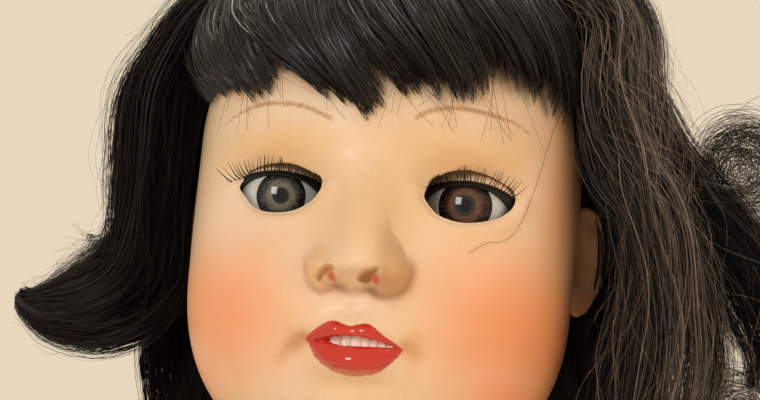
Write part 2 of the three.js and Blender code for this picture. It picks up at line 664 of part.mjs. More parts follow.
// Side hair from the root down, in half widths of the face: place, half thickness and half width
const HAIR_UNIT = FACE_HALF.x;
const hair = (x, y, z, thick, wide) => ({
  at: v3(x, y, z).multiplyScalar(HAIR_UNIT),
  thick: thick * HAIR_UNIT,
  wide: wide * HAIR_UNIT,
});
const RIGHT_LOCK = [
  hair(-0.735, 0, 1.265, 0.122, 0.306),
  hair(-1.102, -0.102, 0.898, 0.204, 0.408),
  hair(-1.286, -0.163, 0.49, 0.224, 0.449),
  hair(-1.306, -0.184, 0.082, 0.224, 0.449),
  hair(-1.286, -0.184, -0.286, 0.204, 0.408),
  hair(-1.51, -0.143, -0.592, 0.184, 0.367),
  hair(-1.878, -0.082, -0.735, 0.143, 0.286),
  hair(-2.163, -0.041, -0.612, 0.051, 0.143),
];
const LEFT_LOCK = [
  hair(0.735, -0.041, 1.306, 0.163, 0.327),
  hair(1.184, -0.163, 1.02, 0.265, 0.429),
  hair(1.449, -0.245, 0.571, 0.306, 0.469),
  hair(1.571, -0.265, 0.082, 0.327, 0.469),
  hair(1.633, -0.245, -0.408, 0.327, 0.449),
  hair(1.592, -0.184, -0.898, 0.286, 0.408),
  hair(1.429, -0.122, -1.347, 0.143, 0.245),
];
const CURL = {
  centre: v3(1.857, 0.041, 0.245).multiplyScalar(HAIR_UNIT),
  radius: 0.224 * HAIR_UNIT,
  tube: 0.106 * HAIR_UNIT,
  turns: 0.86,
  steps: 10,
};

/** The loose rolled curl that springs out of the left lock. */
function curlSolid() {
  const points = Array.from({ length: CURL.steps + 1 }, (_, i) => {
    const angle = Math.PI * 0.9 - (2 * Math.PI * CURL.turns * i) / CURL.steps;
    return v3(CURL.centre.x + CURL.radius * Math.cos(angle), CURL.centre.y, CURL.centre.z + CURL.radius * Math.sin(angle));
  });
  return tube(points, CURL.tube, CURL.steps + 4);
}

/** Back hair: a curtain round the back of the head that flares towards its ends. */
function curtainSolid() {
  const from = FACE_HALF.x;
  const level = (share) => CRANIUM_RISE - CURTAIN_LENGTH * share;
  const flare = [0, 3, 6, 14, 20];
  const shell = (thickness) => taper(flare.map((out, i) => ({
    z: level(i / (flare.length - 1)),
    rx: from + 3 + out + thickness,
    ry: CRANIUM_HALF.y + 1 + out * 0.3 + thickness,
    y: CRANIUM_BACK,
  })), WIG_COLUMNS, 8);
  const inside = join(shell(0), moved(shell(0), 0, 0, 1), moved(shell(0), 0, 0, -1));
  return cut(shell(CURTAIN_HAIR), inside, boxSolid(-FAR, FAR, -FAR, CURTAIN_FRONT, -FAR, FAR));
}

/** Room round an ear. */
const earSolid = () => ballSolid(1).scale([EAR.half.x + 3, EAR.half.y + 7, EAR.half.z + 4]);

function buildWig(head) {
  const capTop = CAP_STANDOFF + CAP_THICKNESS;
  const crownInner = capTop + SEAT_GAP;
  const crownTop = (share) => crownInner + CROWN_HAIR * (1 - 0.6 * smooth((share - 0.8) / 0.2));
  const helmet = headSolid(WIG_COLUMNS, WIG_ROWS * 2, CAP_STANDOFF, headField, NECK_RADIUS, NECK_BALL_RADIUS);
  const ears = sides((s) => moved(earSolid(), s * EAR.centre.x, EAR.centre.y, EAR.centre.z));
  const crown = cut(wigLayer(crownInner, crownTop), ...ears);
  const crownClear = wigLayer(-HEAD_WALL, (share) => crownTop(share) + SEAT_GAP * 2, 0.02);
  piece(head, "wig_cap", NET, cut(wigLayer(CAP_STANDOFF, () => capTop), ...ears));
  piece(head, "wig_crown", HAIR, crown);

  const fringe = fringeSolid();
  piece(head, "wig_fringe", HAIR, fringe);
  const fringeClear = cut(moved(fringeSolid(), SEAT_GAP, 0, 0).add(moved(fringeSolid(), -SEAT_GAP, 0, 0)));
  const right = cut(lock(RIGHT_LOCK, 12, 16), helmet, crownClear, fringeClear);
  const left = cut(lock(LEFT_LOCK, 12, 14), helmet, crownClear, fringeClear);
  piece(head, "wig_lock_right", HAIR, right);
  piece(head, "wig_lock_left", HAIR, left);
  const locksClear = join(lock(RIGHT_LOCK, 12, 16, SEAT_GAP), lock(LEFT_LOCK, 12, 14, SEAT_GAP));
  const curtain = cut(curtainSolid(), helmet, crownClear, locksClear);
  piece(head, "wig_back", HAIR, curtain);
  const curtainClear = join(curtainSolid(), moved(curtainSolid(), SEAT_GAP, 0, 0), moved(curtainSolid(), 0, 0, SEAT_GAP));
  piece(head, "wig_curl_left", HAIR, cut(curlSolid(), helmet, crownClear, locksClear, curtainClear));
}

// Torso

/** Ellipses of the trunk from the neck rim to the crotch, swollen by an amount. */
function torsoStations(grow) {
  const rim = NECK_CENTRE - NECK_RIM_DROP;
  const stations = [
    { z: rim, rx: NECK_RIM_RADIUS, ry: NECK_RIM_RADIUS - 1 },
    { z: rim - (rim - SHOULDER_HEIGHT) * 0.4, rx: SHOULDER_HALF_WIDTH - 10, ry: SHOULDER_HALF_DEPTH },
    { z: SHOULDER_HEIGHT, rx: SHOULDER_HALF_WIDTH, ry: SHOULDER_HALF_DEPTH + 1 },
    { z: SHOULDER_HEIGHT - SHOULDER_BALL_RADIUS, rx: CHEST_HALF_WIDTH + 0.4, ry: CHEST_HALF_DEPTH - 1 },
    { z: CHEST_HEIGHT, rx: CHEST_HALF_WIDTH, ry: CHEST_HALF_DEPTH },
    { z: WAIST_HEIGHT, rx: WAIST_HALF_WIDTH, ry: WAIST_HALF_DEPTH },
    { z: BELLY_HEIGHT, rx: HIP_HALF_WIDTH, ry: HIP_HALF_DEPTH },
    { z: HIP_HEIGHT, rx: HIP_HALF_WIDTH - 2, ry: HIP_HALF_DEPTH - 1, y: 2 },
    { z: HIP_HEIGHT - CROTCH_DEPTH * 0.6, rx: HIP_HALF_WIDTH * 0.6, ry: HIP_HALF_DEPTH * 0.75, y: 2 },
    { z: HIP_HEIGHT - CROTCH_DEPTH, rx: 11, ry: 13, y: 2 },
  ];
  return stations.map((s) => ({ ...s, rx: s.rx + grow, ry: s.ry + grow }));
}

const trunk = (grow) => taper(torsoStations(grow), TORSO_SIDES, 12);
const sides = (build) => [-1, 1].map(build);

/** Room for the thighs: the leg line all round, and the front where they swing up. */
function thighRoom(grow) {
  const inner = HIP_SPREAD - HIP_BALL_RADIUS - RUN_GAP * 2 - grow;
  const roof = HIP_HEIGHT + THIGH_RADIUS + RUN_GAP * 2 + grow;
  return sides((side) => {
    const [x0, x1] = side < 0 ? [-FAR, -inner] : [inner, FAR];
    return join(
      boxSolid(x0, x1, -FAR, FAR, -FAR, HIP_HEIGHT - LEG_LINE_DROP + grow),
      boxSolid(x0, x1, -FAR, 0, -FAR, roof));
  });
}

function buildTorso() {
  const neckSeat = (extra) => moved(socketSolid(NECK_BALL_RADIUS, extra, TORSO_SIDES), 0, 0, NECK_CENTRE);
  const shoulderSeats = (extra) =>
    sides((s) => moved(socketSolid(SHOULDER_BALL_RADIUS, extra), s * SHOULDER_SPREAD, 0, SHOULDER_HEIGHT));
  const hipSeats = (extra) =>
    sides((s) => moved(socketSolid(HIP_BALL_RADIUS, extra, TORSO_SIDES), s * HIP_SPREAD, 0, HIP_HEIGHT));
  const solidCup = [neckSeat(TORSO_WALL), ...shoulderSeats(TORSO_WALL), ...hipSeats(TORSO_WALL - 1)];
  const roofs = thighRoom(TORSO_WALL);
  const cavity = cut(taper(torsoStations(-TORSO_WALL).slice(0, -1), LIMB_SIDES, 7), ...solidCup, ...roofs);
  const holes = [
    moved(rod("z", NECK_HOLE_RADIUS, CHEST_HEIGHT, NECK_CENTRE, BALL_SIDES), 0, 0, 0),
    moved(rod("x", HOOK_EYE_RADIUS + HOOK_WIRE_RADIUS + RUN_GAP, -SHOULDER_SPREAD, SHOULDER_SPREAD, 12), 0, 0, SHOULDER_HEIGHT),
    moved(rod("x", HOOK_WIRE_RADIUS + 2.2, -HIP_SPREAD, HIP_SPREAD, 12), 0, 0, HIP_HEIGHT),
  ];
  const torso = new THREE.Group();
  piece(torso, "torso", COMPOSITION,
    cut(trunk(0), cavity, neckSeat(0), ...shoulderSeats(0), ...hipSeats(0), ...thighRoom(0), ...holes));

  const hookEnd = SHOULDER_SPREAD - SHOULDER_BALL_RADIUS - 7 - HOOK_EYE_RADIUS - HOOK_WIRE_RADIUS;
  const reach = hookEnd - SEAT_GAP;
  piece(torso, "arm_elastic", ELASTIC, moved(rod("x", ELASTIC_RADIUS, -reach, reach), 0, 0, SHOULDER_HEIGHT));
  for (const [side, word] of [[1, "left"], [-1, "right"]])
    piece(torso, `leg_elastic_${word}`, ELASTIC, legElastic(side));
  buildBodice(torso);
  return torso;
}

const HIP_EYE_X = HIP_EYE_RADIUS + HOOK_WIRE_RADIUS + 0.4; // middle of the thigh hook's eye

/** From the thigh hook up behind the arm elastic to just under the neck hook. */
function legElastic(side) {
  const x = side * (ELASTIC_RADIUS + SEAT_GAP);
  const back = ELASTIC_RADIUS * 2 + 1.6;
  const top = NECK_HOOK_FOOT - SEAT_GAP;
  const foot = HIP_HEIGHT + HIP_EYE_RADIUS + HOOK_WIRE_RADIUS + SEAT_GAP * 2;
  return tube([
    v3(side * HIP_EYE_X, 0, foot),
    v3(side * HIP_EYE_X, 0, foot + 10),
    v3(x, back * 0.5, WAIST_HEIGHT),
    v3(x, back, SHOULDER_HEIGHT - 14),
    v3(x, back, top),
  ], ELASTIC_RADIUS, 10);
}

/** Neck hook: an eye under the torso's neck cup, a shank, and the wooden button in the neck. */
const NECK_HOOK_FOOT = SHOULDER_HEIGHT + ELASTIC_RADIUS + 2.4;
function buildNeckHook() {
  const neck = new THREE.Group();
  const room = (NECK_BALL_RADIUS - HEAD_WALL + 1) * 0.95;
  const buttonFoot = NECK_CENTRE - Math.sqrt(room ** 2 - BUTTON_RADIUS ** 2) + SEAT_GAP;
  const eye = moved(wireEye(HOOK_EYE_RADIUS), 0, 0, NECK_HOOK_FOOT + HOOK_EYE_RADIUS + HOOK_WIRE_RADIUS);
  const shankFoot = NECK_HOOK_FOOT + 2 * HOOK_EYE_RADIUS + HOOK_WIRE_RADIUS;
  const shankTop = buttonFoot + BUTTON_THICKNESS + 4;
  const nut = rod("z", HOOK_WIRE_RADIUS + 1.4, buttonFoot + BUTTON_THICKNESS + SEAT_GAP, shankTop);
  piece(neck, "neck_hook", STEEL, join(eye, rod("z", HOOK_WIRE_RADIUS, shankFoot, shankTop), nut));
  piece(neck, "neck_button", TURNED_WOOD, cut(
    rod("z", BUTTON_RADIUS, buttonFoot, buttonFoot + BUTTON_THICKNESS, BALL_SIDES),
    rod("z", HOOK_WIRE_RADIUS + SEAT_GAP, 0, FAR * 3)));
  return neck;
}

/** Sleeveless top of the cotton combinations, a skin over the torso. */
function buildBodice(torso) {
  const top = SHOULDER_HEIGHT + SHOULDER_BALL_RADIUS - NECKLINE_DROP;
  const armRoom = sides((s) => moved(ballSolid(SHOULDER_BALL_RADIUS + 9), s * SHOULDER_SPREAD, 0, SHOULDER_HEIGHT));
  const hipRoom = sides((s) => moved(socketSolid(HIP_BALL_RADIUS, 1, TORSO_SIDES), s * HIP_SPREAD, 0, HIP_HEIGHT));
  const inside = trunk(CLOTH_STANDOFF);
  const outside = trunk(CLOTH_STANDOFF + CLOTH_THICKNESS);
  const above = boxSolid(-FAR, FAR, -FAR, FAR, top, FAR * 3);
  const below = boxSolid(-FAR, FAR, -FAR, FAR, -FAR, HIP_HEIGHT - LEG_LINE_DROP + SEAT_GAP);
  piece(torso, "bodice", COTTON, cut(outside, inside, above, below, ...armRoom, ...hipRoom, ...thighRoom(SEAT_GAP)));
}

// Limbs, each built about its own upper joint with +x pointing away from the body

/** A ball with a channel for the elastic from its middle down, and a bore for its cross pin. */
const pinBore = () => rod("x", PIN_RADIUS + SEAT_GAP, -FAR, FAR);
const channel = (from, to) => rod("z", ELASTIC_RADIUS + 0.6, from, to, ROD_SIDES);
const slotHalf = ELASTIC_RADIUS + 0.6;

function buildArm(side, word, group) {
  const arm = new THREE.Group();
  arm.position.set(SHOULDER_SPREAD, 0, SHOULDER_HEIGHT);
  arm.rotation.y = -ARM_HANG_ANGLE;
  group.add(arm);

  const elbow = -UPPER_ARM_LENGTH;
  const hookSlot = boxSolid(-FAR, HOOK_WIRE_RADIUS + 1, -HOOK_WIRE_RADIUS - 0.8, HOOK_WIRE_RADIUS + 0.8,
    -HOOK_WIRE_RADIUS - 0.8, SHOULDER_BALL_RADIUS * 0.83);
  const flesh = taper([
    { z: 0, rx: 12, ry: 12.5 },
    { z: -14, rx: UPPER_ARM_RADIUS - 0.4, ry: UPPER_ARM_RADIUS + 0.4, x: 0.5 },
    { z: elbow * 0.5, rx: UPPER_ARM_RADIUS - 1, ry: UPPER_ARM_RADIUS - 0.4 },
    { z: elbow + 14, rx: ELBOW_BALL_RADIUS + 0.8, ry: ELBOW_BALL_RADIUS + 1 },
    { z: elbow + 1, rx: ELBOW_BALL_RADIUS + 0.4, ry: ELBOW_BALL_RADIUS + 0.6 },
  ], LIMB_SIDES, 6);
  const elbowRoom = boxSolid(-FAR, FAR, -FAR, 0, elbow - FAR, elbow + ELBOW_BALL_RADIUS + RUN_GAP);
  piece(arm, `upper_arm_${word}`, COMPOSITION, cut(join(ballSolid(SHOULDER_BALL_RADIUS), flesh),
    hookSlot, channel(elbow, 0), moved(socketSolid(ELBOW_BALL_RADIUS), 0, 0, elbow), elbowRoom));
  piece(arm, `elbow_elastic_${word}`, ELASTIC, rod("z", ELASTIC_RADIUS,
    elbow + PIN_RADIUS + SEAT_GAP * 2, -HOOK_WIRE_RADIUS - SEAT_GAP * 2));

  const forearm = new THREE.Group();
  forearm.position.set(0, 0, elbow);
  arm.add(forearm);
  const wrist = -FOREARM_LENGTH;
  const lowerFlesh = taper([
    { z: 0, rx: ELBOW_BALL_RADIUS - 1.4, ry: ELBOW_BALL_RADIUS - 1.4 },
    { z: -12, rx: ELBOW_BALL_RADIUS - 0.4, ry: ELBOW_BALL_RADIUS - 0.6 },
    { z: -26, rx: FOREARM_RADIUS, ry: FOREARM_RADIUS - 0.4 },
    { z: wrist * 0.72, rx: FOREARM_RADIUS - 2, ry: FOREARM_RADIUS - 2 },
    { z: wrist + 1, rx: WRIST_BALL_RADIUS + 1.2, ry: WRIST_BALL_RADIUS + 1.2 },
  ], LIMB_SIDES, 6);
  const elbowSlot = boxSolid(-slotHalf, slotHalf, -FAR, slotHalf, -slotHalf, FAR);
  piece(forearm, `forearm_${word}`, COMPOSITION, cut(join(ballSolid(ELBOW_BALL_RADIUS), lowerFlesh),
    elbowSlot, rod("x", PIN_RADIUS + SEAT_GAP, -ELBOW_BALL_RADIUS * 0.8, ELBOW_BALL_RADIUS * 0.8),
    channel(wrist, 0), moved(socketSolid(WRIST_BALL_RADIUS), 0, 0, wrist)));
  piece(forearm, `elbow_pin_${word}`, STEEL,
    rod("x", PIN_RADIUS, -ELBOW_BALL_RADIUS * 0.8 + SEAT_GAP, ELBOW_BALL_RADIUS * 0.8 - SEAT_GAP));
  piece(forearm, `wrist_elastic_${word}`, ELASTIC, rod("z", ELASTIC_RADIUS,
    wrist + PIN_RADIUS + SEAT_GAP * 2, -PIN_RADIUS - SEAT_GAP * 2));
  buildHand(word, forearm);

  const hook = new THREE.Group();
  hook.position.set(SHOULDER_SPREAD, 0, SHOULDER_HEIGHT);
  group.add(hook);
  const eyeAt = -SHOULDER_BALL_RADIUS - 7;
  piece(hook, `arm_hook_${word}`, STEEL, join(
    rod("x", HOOK_WIRE_RADIUS, eyeAt + HOOK_EYE_RADIUS, 0),
    moved(wireEye(HOOK_EYE_RADIUS).rotate([0, 0, 90]), eyeAt, 0, 0)));
}

/** A finger: a capsule from its knuckle, curling forwards. */
function finger(x, y, z, length, radius, curl, lean) {
  const capsule = new THREE.CapsuleGeometry(radius, length - 2 * radius, 2, FINGER_SIDES);
  capsule.rotateX(Math.PI / 2).translate(0, 0, -length / 2 + radius);
  capsule.rotateX(-curl).rotateY(lean);
  return moved(solidOf(capsule), x, y, z);
}

/** Palm towards the body, thumb to the front. */
function buildHand(word, forearm) {
  const hand = new THREE.Group();
  hand.position.set(0, 0, -FOREARM_LENGTH);
  forearm.add(hand);
  const palmFoot = -WRIST_BALL_RADIUS - PALM_LENGTH;
  const palm = taper([
    { z: -2, rx: WRIST_BALL_RADIUS - 1.4, ry: WRIST_BALL_RADIUS - 1 },
    { z: -WRIST_BALL_RADIUS - 3, rx: 5, ry: 7 },
    { z: palmFoot + PALM_LENGTH * 0.4, rx: 4.8, ry: 9.6 },
    { z: palmFoot, rx: 3.6, ry: 9.2 },
  ], 10, 4);
  const spread = [-1.5, -0.5, 0.5, 1.5];
  const lengths = [0.9, 1, 0.96, 0.8];
  const fingers = spread.map((place, i) =>
    finger(-0.4, place * FINGER_RADIUS * 1.62, palmFoot + 3, FINGER_LENGTH * lengths[i] + 3, FINGER_RADIUS,
      -0.09 * place, 0.16 + 0.04 * i));
  const thumb = finger(-1.5, -7, palmFoot + PALM_LENGTH * 0.62, FINGER_LENGTH * 0.82 + 3, FINGER_RADIUS + 0.3, -0.62, 0.3);
  const pocket = rod("z", ELASTIC_RADIUS + 0.6, -slotHalf, FAR);
  piece(hand, `hand_${word}`, COMPOSITION, cut(join(ballSolid(WRIST_BALL_RADIUS), palm, thumb, ...fingers), pocket,
    rod("x", PIN_RADIUS + SEAT_GAP, -WRIST_BALL_RADIUS * 0.75, WRIST_BALL_RADIUS * 0.75)));
  piece(hand, `wrist_pin_${word}`, STEEL,
    rod("x", PIN_RADIUS, -WRIST_BALL_RADIUS * 0.75 + SEAT_GAP, WRIST_BALL_RADIUS * 0.75 - SEAT_GAP));
}

function thighStations(grow) {
  const knee = -THIGH_LENGTH;
  return [
    { z: 0, rx: HIP_BALL_RADIUS - 1, ry: HIP_BALL_RADIUS - 1 },
    { z: -9, rx: HIP_BALL_RADIUS - 0.6, ry: HIP_BALL_RADIUS - 0.4 },
    { z: -28, rx: THIGH_RADIUS - 1.2, ry: THIGH_RADIUS, x: 2.4 },
    { z: -52, rx: THIGH_RADIUS - 1.6, ry: THIGH_RADIUS - 0.4, x: 1.6 },
    { z: knee * 0.76, rx: KNEE_BALL_RADIUS + 3.6, ry: KNEE_BALL_RADIUS + 4 },
    { z: knee + 1, rx: KNEE_BALL_RADIUS + 0.8, ry: KNEE_BALL_RADIUS + 1 },
  ].map((s) => ({ ...s, rx: s.rx + grow, ry: s.ry + grow }));
}

function buildLeg(side, word, group) {
  const leg = new THREE.Group();
  leg.position.set(HIP_SPREAD, 0, HIP_HEIGHT);
  group.add(leg);
  const knee = -THIGH_LENGTH;
  const thigh = (grow) => taper(thighStations(grow), LIMB_SIDES + 2, 8);
  const kneeRoom = boxSolid(-FAR, FAR, 0, FAR, knee - FAR, knee + KNEE_BALL_RADIUS + RUN_GAP);
  const hookHalf = HOOK_WIRE_RADIUS + 0.8;
  const hookSlot = boxSolid(-FAR, hookHalf, -hookHalf, hookHalf, -hookHalf, HIP_BALL_RADIUS * 0.5);
  piece(leg, `thigh_${word}`, COMPOSITION, cut(join(ballSolid(HIP_BALL_RADIUS, TORSO_SIDES), thigh(0)),
    hookSlot, channel(knee, 0), moved(socketSolid(KNEE_BALL_RADIUS), 0, 0, knee), kneeRoom));
  const eyeAt = HIP_EYE_X - HIP_SPREAD;
  piece(leg, `hip_hook_${word}`, STEEL, join(
    rod("x", HOOK_WIRE_RADIUS, eyeAt + HIP_EYE_RADIUS, 0),
    moved(wireEye(HIP_EYE_RADIUS).rotate([0, 90, 0]), eyeAt, 0, 0)));
  piece(leg, `knee_elastic_${word}`, ELASTIC, rod("z", ELASTIC_RADIUS,
    knee + PIN_RADIUS + SEAT_GAP * 2, -HOOK_WIRE_RADIUS - SEAT_GAP * 2));
  const cuffBand = boxSolid(-FAR, FAR, -FAR, FAR, -CUFF_DROP - CUFF_LENGTH, -CUFF_DROP);
  piece(leg, `leg_cuff_${word}`, COTTON,
    cut(thigh(CLOTH_STANDOFF + CLOTH_THICKNESS), thigh(CLOTH_STANDOFF)).intersect(cuffBand));
  buildLowerLeg(word, leg);
}

/** Shin and foot in one piece, flat under the sole. */
function buildLowerLeg(word, leg) {
  const lower = new THREE.Group();
  lower.position.set(0, 0, -THIGH_LENGTH);
  leg.add(lower);
  const floor = THIGH_LENGTH - HIP_HEIGHT;
  const ankle = floor + ANKLE_HEIGHT;
  const shin = taper([
    { z: 0, rx: KNEE_BALL_RADIUS - 1.6, ry: KNEE_BALL_RADIUS - 1.6 },
    { z: -16, rx: KNEE_BALL_RADIUS - 0.6, ry: KNEE_BALL_RADIUS - 0.4, y: 0.4 },
    { z: ankle * 0.45, rx: CALF_RADIUS - 0.6, ry: CALF_RADIUS, y: 2 },
    { z: ankle * 0.8, rx: ANKLE_RADIUS + 1.4, ry: ANKLE_RADIUS + 1.8, y: 1 },
    { z: ankle, rx: ANKLE_RADIUS, ry: ANKLE_RADIUS + 1 },
    { z: floor + 8, rx: ANKLE_RADIUS, ry: ANKLE_RADIUS + 3, y: 1 },
  ], LIMB_SIDES, 7);
  const toe = HEEL_BACK - FOOT_LENGTH;
  const foot = taper([
    { z: -HEEL_BACK, rx: 6, ry: 6, y: 9 },
    { z: -HEEL_BACK + 5, rx: ANKLE_RADIUS - 0.8, ry: 10, y: 8 },
    { z: 0, rx: ANKLE_RADIUS, ry: 15, y: 9 },
    { z: -toe * 0.55, rx: FOOT_HALF_WIDTH, ry: 10.5, y: 7 },
    { z: -toe - 7, rx: FOOT_HALF_WIDTH - 1, ry: 7, y: 5 },
    { z: -toe, rx: FOOT_HALF_WIDTH - 6, ry: 3.6, y: 4 },
  ], LIMB_SIDES, 7).rotate([90, 0, 0]);
  const under = boxSolid(-FAR, FAR, -FAR, FAR, floor - FAR, floor);
  const kneeSlot = boxSolid(-slotHalf, slotHalf, -slotHalf, FAR, -slotHalf, FAR);
  piece(lower, `lower_leg_${word}`, COMPOSITION, cut(
    join(ballSolid(KNEE_BALL_RADIUS), shin, moved(foot, 0, 0, floor)), under, kneeSlot,
    rod("x", PIN_RADIUS + SEAT_GAP, -KNEE_BALL_RADIUS * 0.8, KNEE_BALL_RADIUS * 0.8)));
  piece(lower, `knee_pin_${word}`, STEEL,
    rod("x", PIN_RADIUS, -KNEE_BALL_RADIUS * 0.8 + SEAT_GAP, KNEE_BALL_RADIUS * 0.8 - SEAT_GAP));
}

const doll = new THREE.Group();
doll.add(buildHead(), buildNeckHook(), buildTorso());
for (const [side, word] of [[1, "left"], [-1, "right"]]) {
  const half = new THREE.Group();
  half.scale.x = side;
  buildArm(side, word, half);
  buildLeg(side, word, half);
  doll.add(half);
}

export default doll;
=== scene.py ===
"""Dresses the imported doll: painted head, glass eyes, strand wig, jointed limbs and cotton clothes."""

from __future__ import annotations

import json
import logging
import math
from dataclasses import dataclass, field
from enum import Enum
from typing import Callable, Sequence, Union

import bpy
import bmesh
import numpy as np
from mathutils import Matrix, Vector
from mathutils.bvhtree import BVHTree

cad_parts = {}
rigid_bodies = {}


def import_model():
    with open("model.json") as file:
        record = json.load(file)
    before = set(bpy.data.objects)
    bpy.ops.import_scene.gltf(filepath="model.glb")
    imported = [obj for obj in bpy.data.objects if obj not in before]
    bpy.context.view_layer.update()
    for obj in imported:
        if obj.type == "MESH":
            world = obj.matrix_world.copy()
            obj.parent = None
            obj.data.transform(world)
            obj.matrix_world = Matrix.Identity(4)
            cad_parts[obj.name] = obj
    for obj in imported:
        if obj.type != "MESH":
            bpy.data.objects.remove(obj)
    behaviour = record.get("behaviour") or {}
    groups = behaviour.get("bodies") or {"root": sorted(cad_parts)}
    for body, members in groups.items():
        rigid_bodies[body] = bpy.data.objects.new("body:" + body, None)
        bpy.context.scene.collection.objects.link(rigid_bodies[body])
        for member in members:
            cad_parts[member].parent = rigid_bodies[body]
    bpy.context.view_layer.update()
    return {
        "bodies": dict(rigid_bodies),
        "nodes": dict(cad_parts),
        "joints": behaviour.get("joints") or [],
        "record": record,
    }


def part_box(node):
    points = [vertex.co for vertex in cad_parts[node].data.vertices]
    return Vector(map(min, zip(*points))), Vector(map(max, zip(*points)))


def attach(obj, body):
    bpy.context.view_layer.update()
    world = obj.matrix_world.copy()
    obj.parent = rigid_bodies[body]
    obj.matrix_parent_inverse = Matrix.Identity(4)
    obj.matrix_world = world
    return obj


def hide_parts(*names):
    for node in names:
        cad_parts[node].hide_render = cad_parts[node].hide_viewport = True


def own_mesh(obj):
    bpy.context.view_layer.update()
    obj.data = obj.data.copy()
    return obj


LOG = logging.getLogger("doll")
MM = 0.001
HEAD_ORIGIN = np.array([0.0, -6.0, 512.0])  # the eye line's middle in the row frame, mm
EYE_X = 23.4  # the eyes' middles from the head's, mm
EYE_Y = -27.2855
PHASE = 6.28  # upper bound of a wave's start, nearly a whole turn

Array = np.ndarray
Draws = np.random.Generator
Material = bpy.types.Material
Node = bpy.types.Node
Piece = bpy.types.Object
Socket = bpy.types.NodeSocket
Tree = bpy.types.NodeTree
Colour = tuple[float, float, float]
Feed = Union[Socket, float, Sequence[float]]
Key = Union[int, str]
Pair = tuple[float, float]
Pairs = tuple[Pair, ...]
Rows = tuple[tuple[float, ...], ...]
Solid = tuple[Array, Array]  # points and faces
Vec3 = tuple[float, float, float]


class Side(Enum):
    """The doll's own sides, each with the sign of its x."""

    LEFT = 1
    RIGHT = -1

    @property
    def word(self) -> str:
        """Name of the side as the nodes spell it."""
        return self.name.lower()


class Strand(Enum):
    """How a bundle of hair is cut across: a flat ribbon or a three-sided fibre."""

    RIBBON = 2
    FIBRE = 3


# Meshes


def to_world(points: Array) -> Array:
    """Places from the eye line's middle, in mm, as places in the row frame, in metres."""
    return (points + HEAD_ORIGIN) * MM


def mesh_object(name: str, points: Array, faces: Array) -> Piece:
    """Makes an object with smooth faces from arrays.

    Args:
        name: Name of the piece.
        points: Corner places in metres, one row each.
        faces: Corner numbers, one row of three or four for each face.

    Returns:
        The new object, linked to the scene.
    """
    mesh = bpy.data.meshes.new(name)
    faces = np.asarray(faces, np.int32)
    count, corners = faces.shape
    mesh.vertices.add(len(points))
    mesh.vertices.foreach_set("co", np.ascontiguousarray(points, np.float32).ravel())
    mesh.loops.add(count * corners)
    mesh.loops.foreach_set("vertex_index", faces.ravel())
    mesh.polygons.add(count)
    mesh.polygons.foreach_set("loop_start", np.arange(0, count * corners, corners, dtype=np.int32))
    mesh.polygons.foreach_set("use_smooth", np.ones(count, bool))
    mesh.update(calc_edges=True)
    mesh.validate()
    piece = bpy.data.objects.new(name, mesh)
    bpy.context.scene.collection.objects.link(piece)
    return piece


def outward(piece: Piece) -> None:
    """Turns the faces of a closed piece outwards.

    Args:
        piece: The piece to turn.
    """
    work = bmesh.new()
    work.from_mesh(piece.data)
    bmesh.ops.recalc_face_normals(work, faces=work.faces)
    if work.calc_volume(signed=True) < 0:
        bmesh.ops.reverse_faces(work, faces=work.faces)
    work.to_mesh(piece.data)
    work.free()


def closed_piece(name: str, points: Array, faces: Array) -> Piece:
    """Makes a closed object from arrays, its faces turned outwards.

    Args:
        name: Name of the piece.
        points: Corner places in metres, one row each.
        faces: Corner numbers, one row for each face.

    Returns:
        The new object.
    """
    piece = mesh_object(name, points, faces)
    outward(piece)
    return piece


def grid_faces(rows: int, columns: int, wrapped: bool) -> Array:
    """Faces of a grid of points numbered row by row.

    Args:
        rows: Number of rows.
        columns: Number of columns.
        wrapped: Whether the last column joins the first.

    Returns:
        Corner numbers, four for each face.
    """
    i = np.arange(rows - 1)[:, None]
    j = np.arange(columns if wrapped else columns - 1)[None, :]
    k = (j + 1) % columns
    here, below = i * columns, (i + 1) * columns
    return np.stack([here + j, below + j, below + k, here + k], -1).reshape(-1, 4)


def loop_faces(rows: int, columns: int, wrapped: bool) -> Array:
    """Faces of a grid whose last row joins its first."""
    return grid_faces(rows + 1, columns, wrapped) % (rows * columns)


def closed_grid(grid: Array, first: Array, last: Array) -> tuple[Array, Array]:
    """Closes a wrapped grid with a point at each end, in triangles.

    Args:
        grid: Points by row and column.
        first: Point that closes the first row.
        last: Point that closes the last row.

    Returns:
        Points and triangles.
    """
    rows, columns = grid.shape[:2]
    points = np.concatenate([grid.reshape(-1, 3), first[None], last[None]])
    quads = grid_faces(rows, columns, True)
    j = np.arange(columns)
    k = (j + 1) % columns
    top = np.stack([np.full(columns, rows * columns), j, k], -1)
    end = (rows - 1) * columns
    foot = np.stack([np.full(columns, rows * columns + 1), end + k, end + j], -1)
    return points, np.concatenate([quads[:, [0, 1, 2]], quads[:, [0, 2, 3]], top, foot])


def mesh_points(piece: Piece) -> Array:
    """Corner places of a piece, in metres.

    Args:
        piece: The piece.

    Returns:
        One row for each corner.
    """
    co = np.empty(len(piece.data.vertices) * 3, np.float32)
    piece.data.vertices.foreach_get("co", co)
    return co.reshape(-1, 3).astype(float)


def set_points(piece: Piece, points: Array) -> None:
    """Moves the corners of a piece, given in metres."""
    piece.data.vertices.foreach_set("co", np.ascontiguousarray(points, np.float32).ravel())
    piece.data.update()


def mesh_normals(piece: Piece) -> Array:
    """Unit normals at the corners of a piece.

    Args:
        piece: The piece.

    Returns:
        One row for each corner.
    """
    normals = np.empty(len(piece.data.vertices) * 3, np.float32)
    piece.data.vertex_normals.foreach_get("vector", normals)
    return normals.reshape(-1, 3).astype(float)


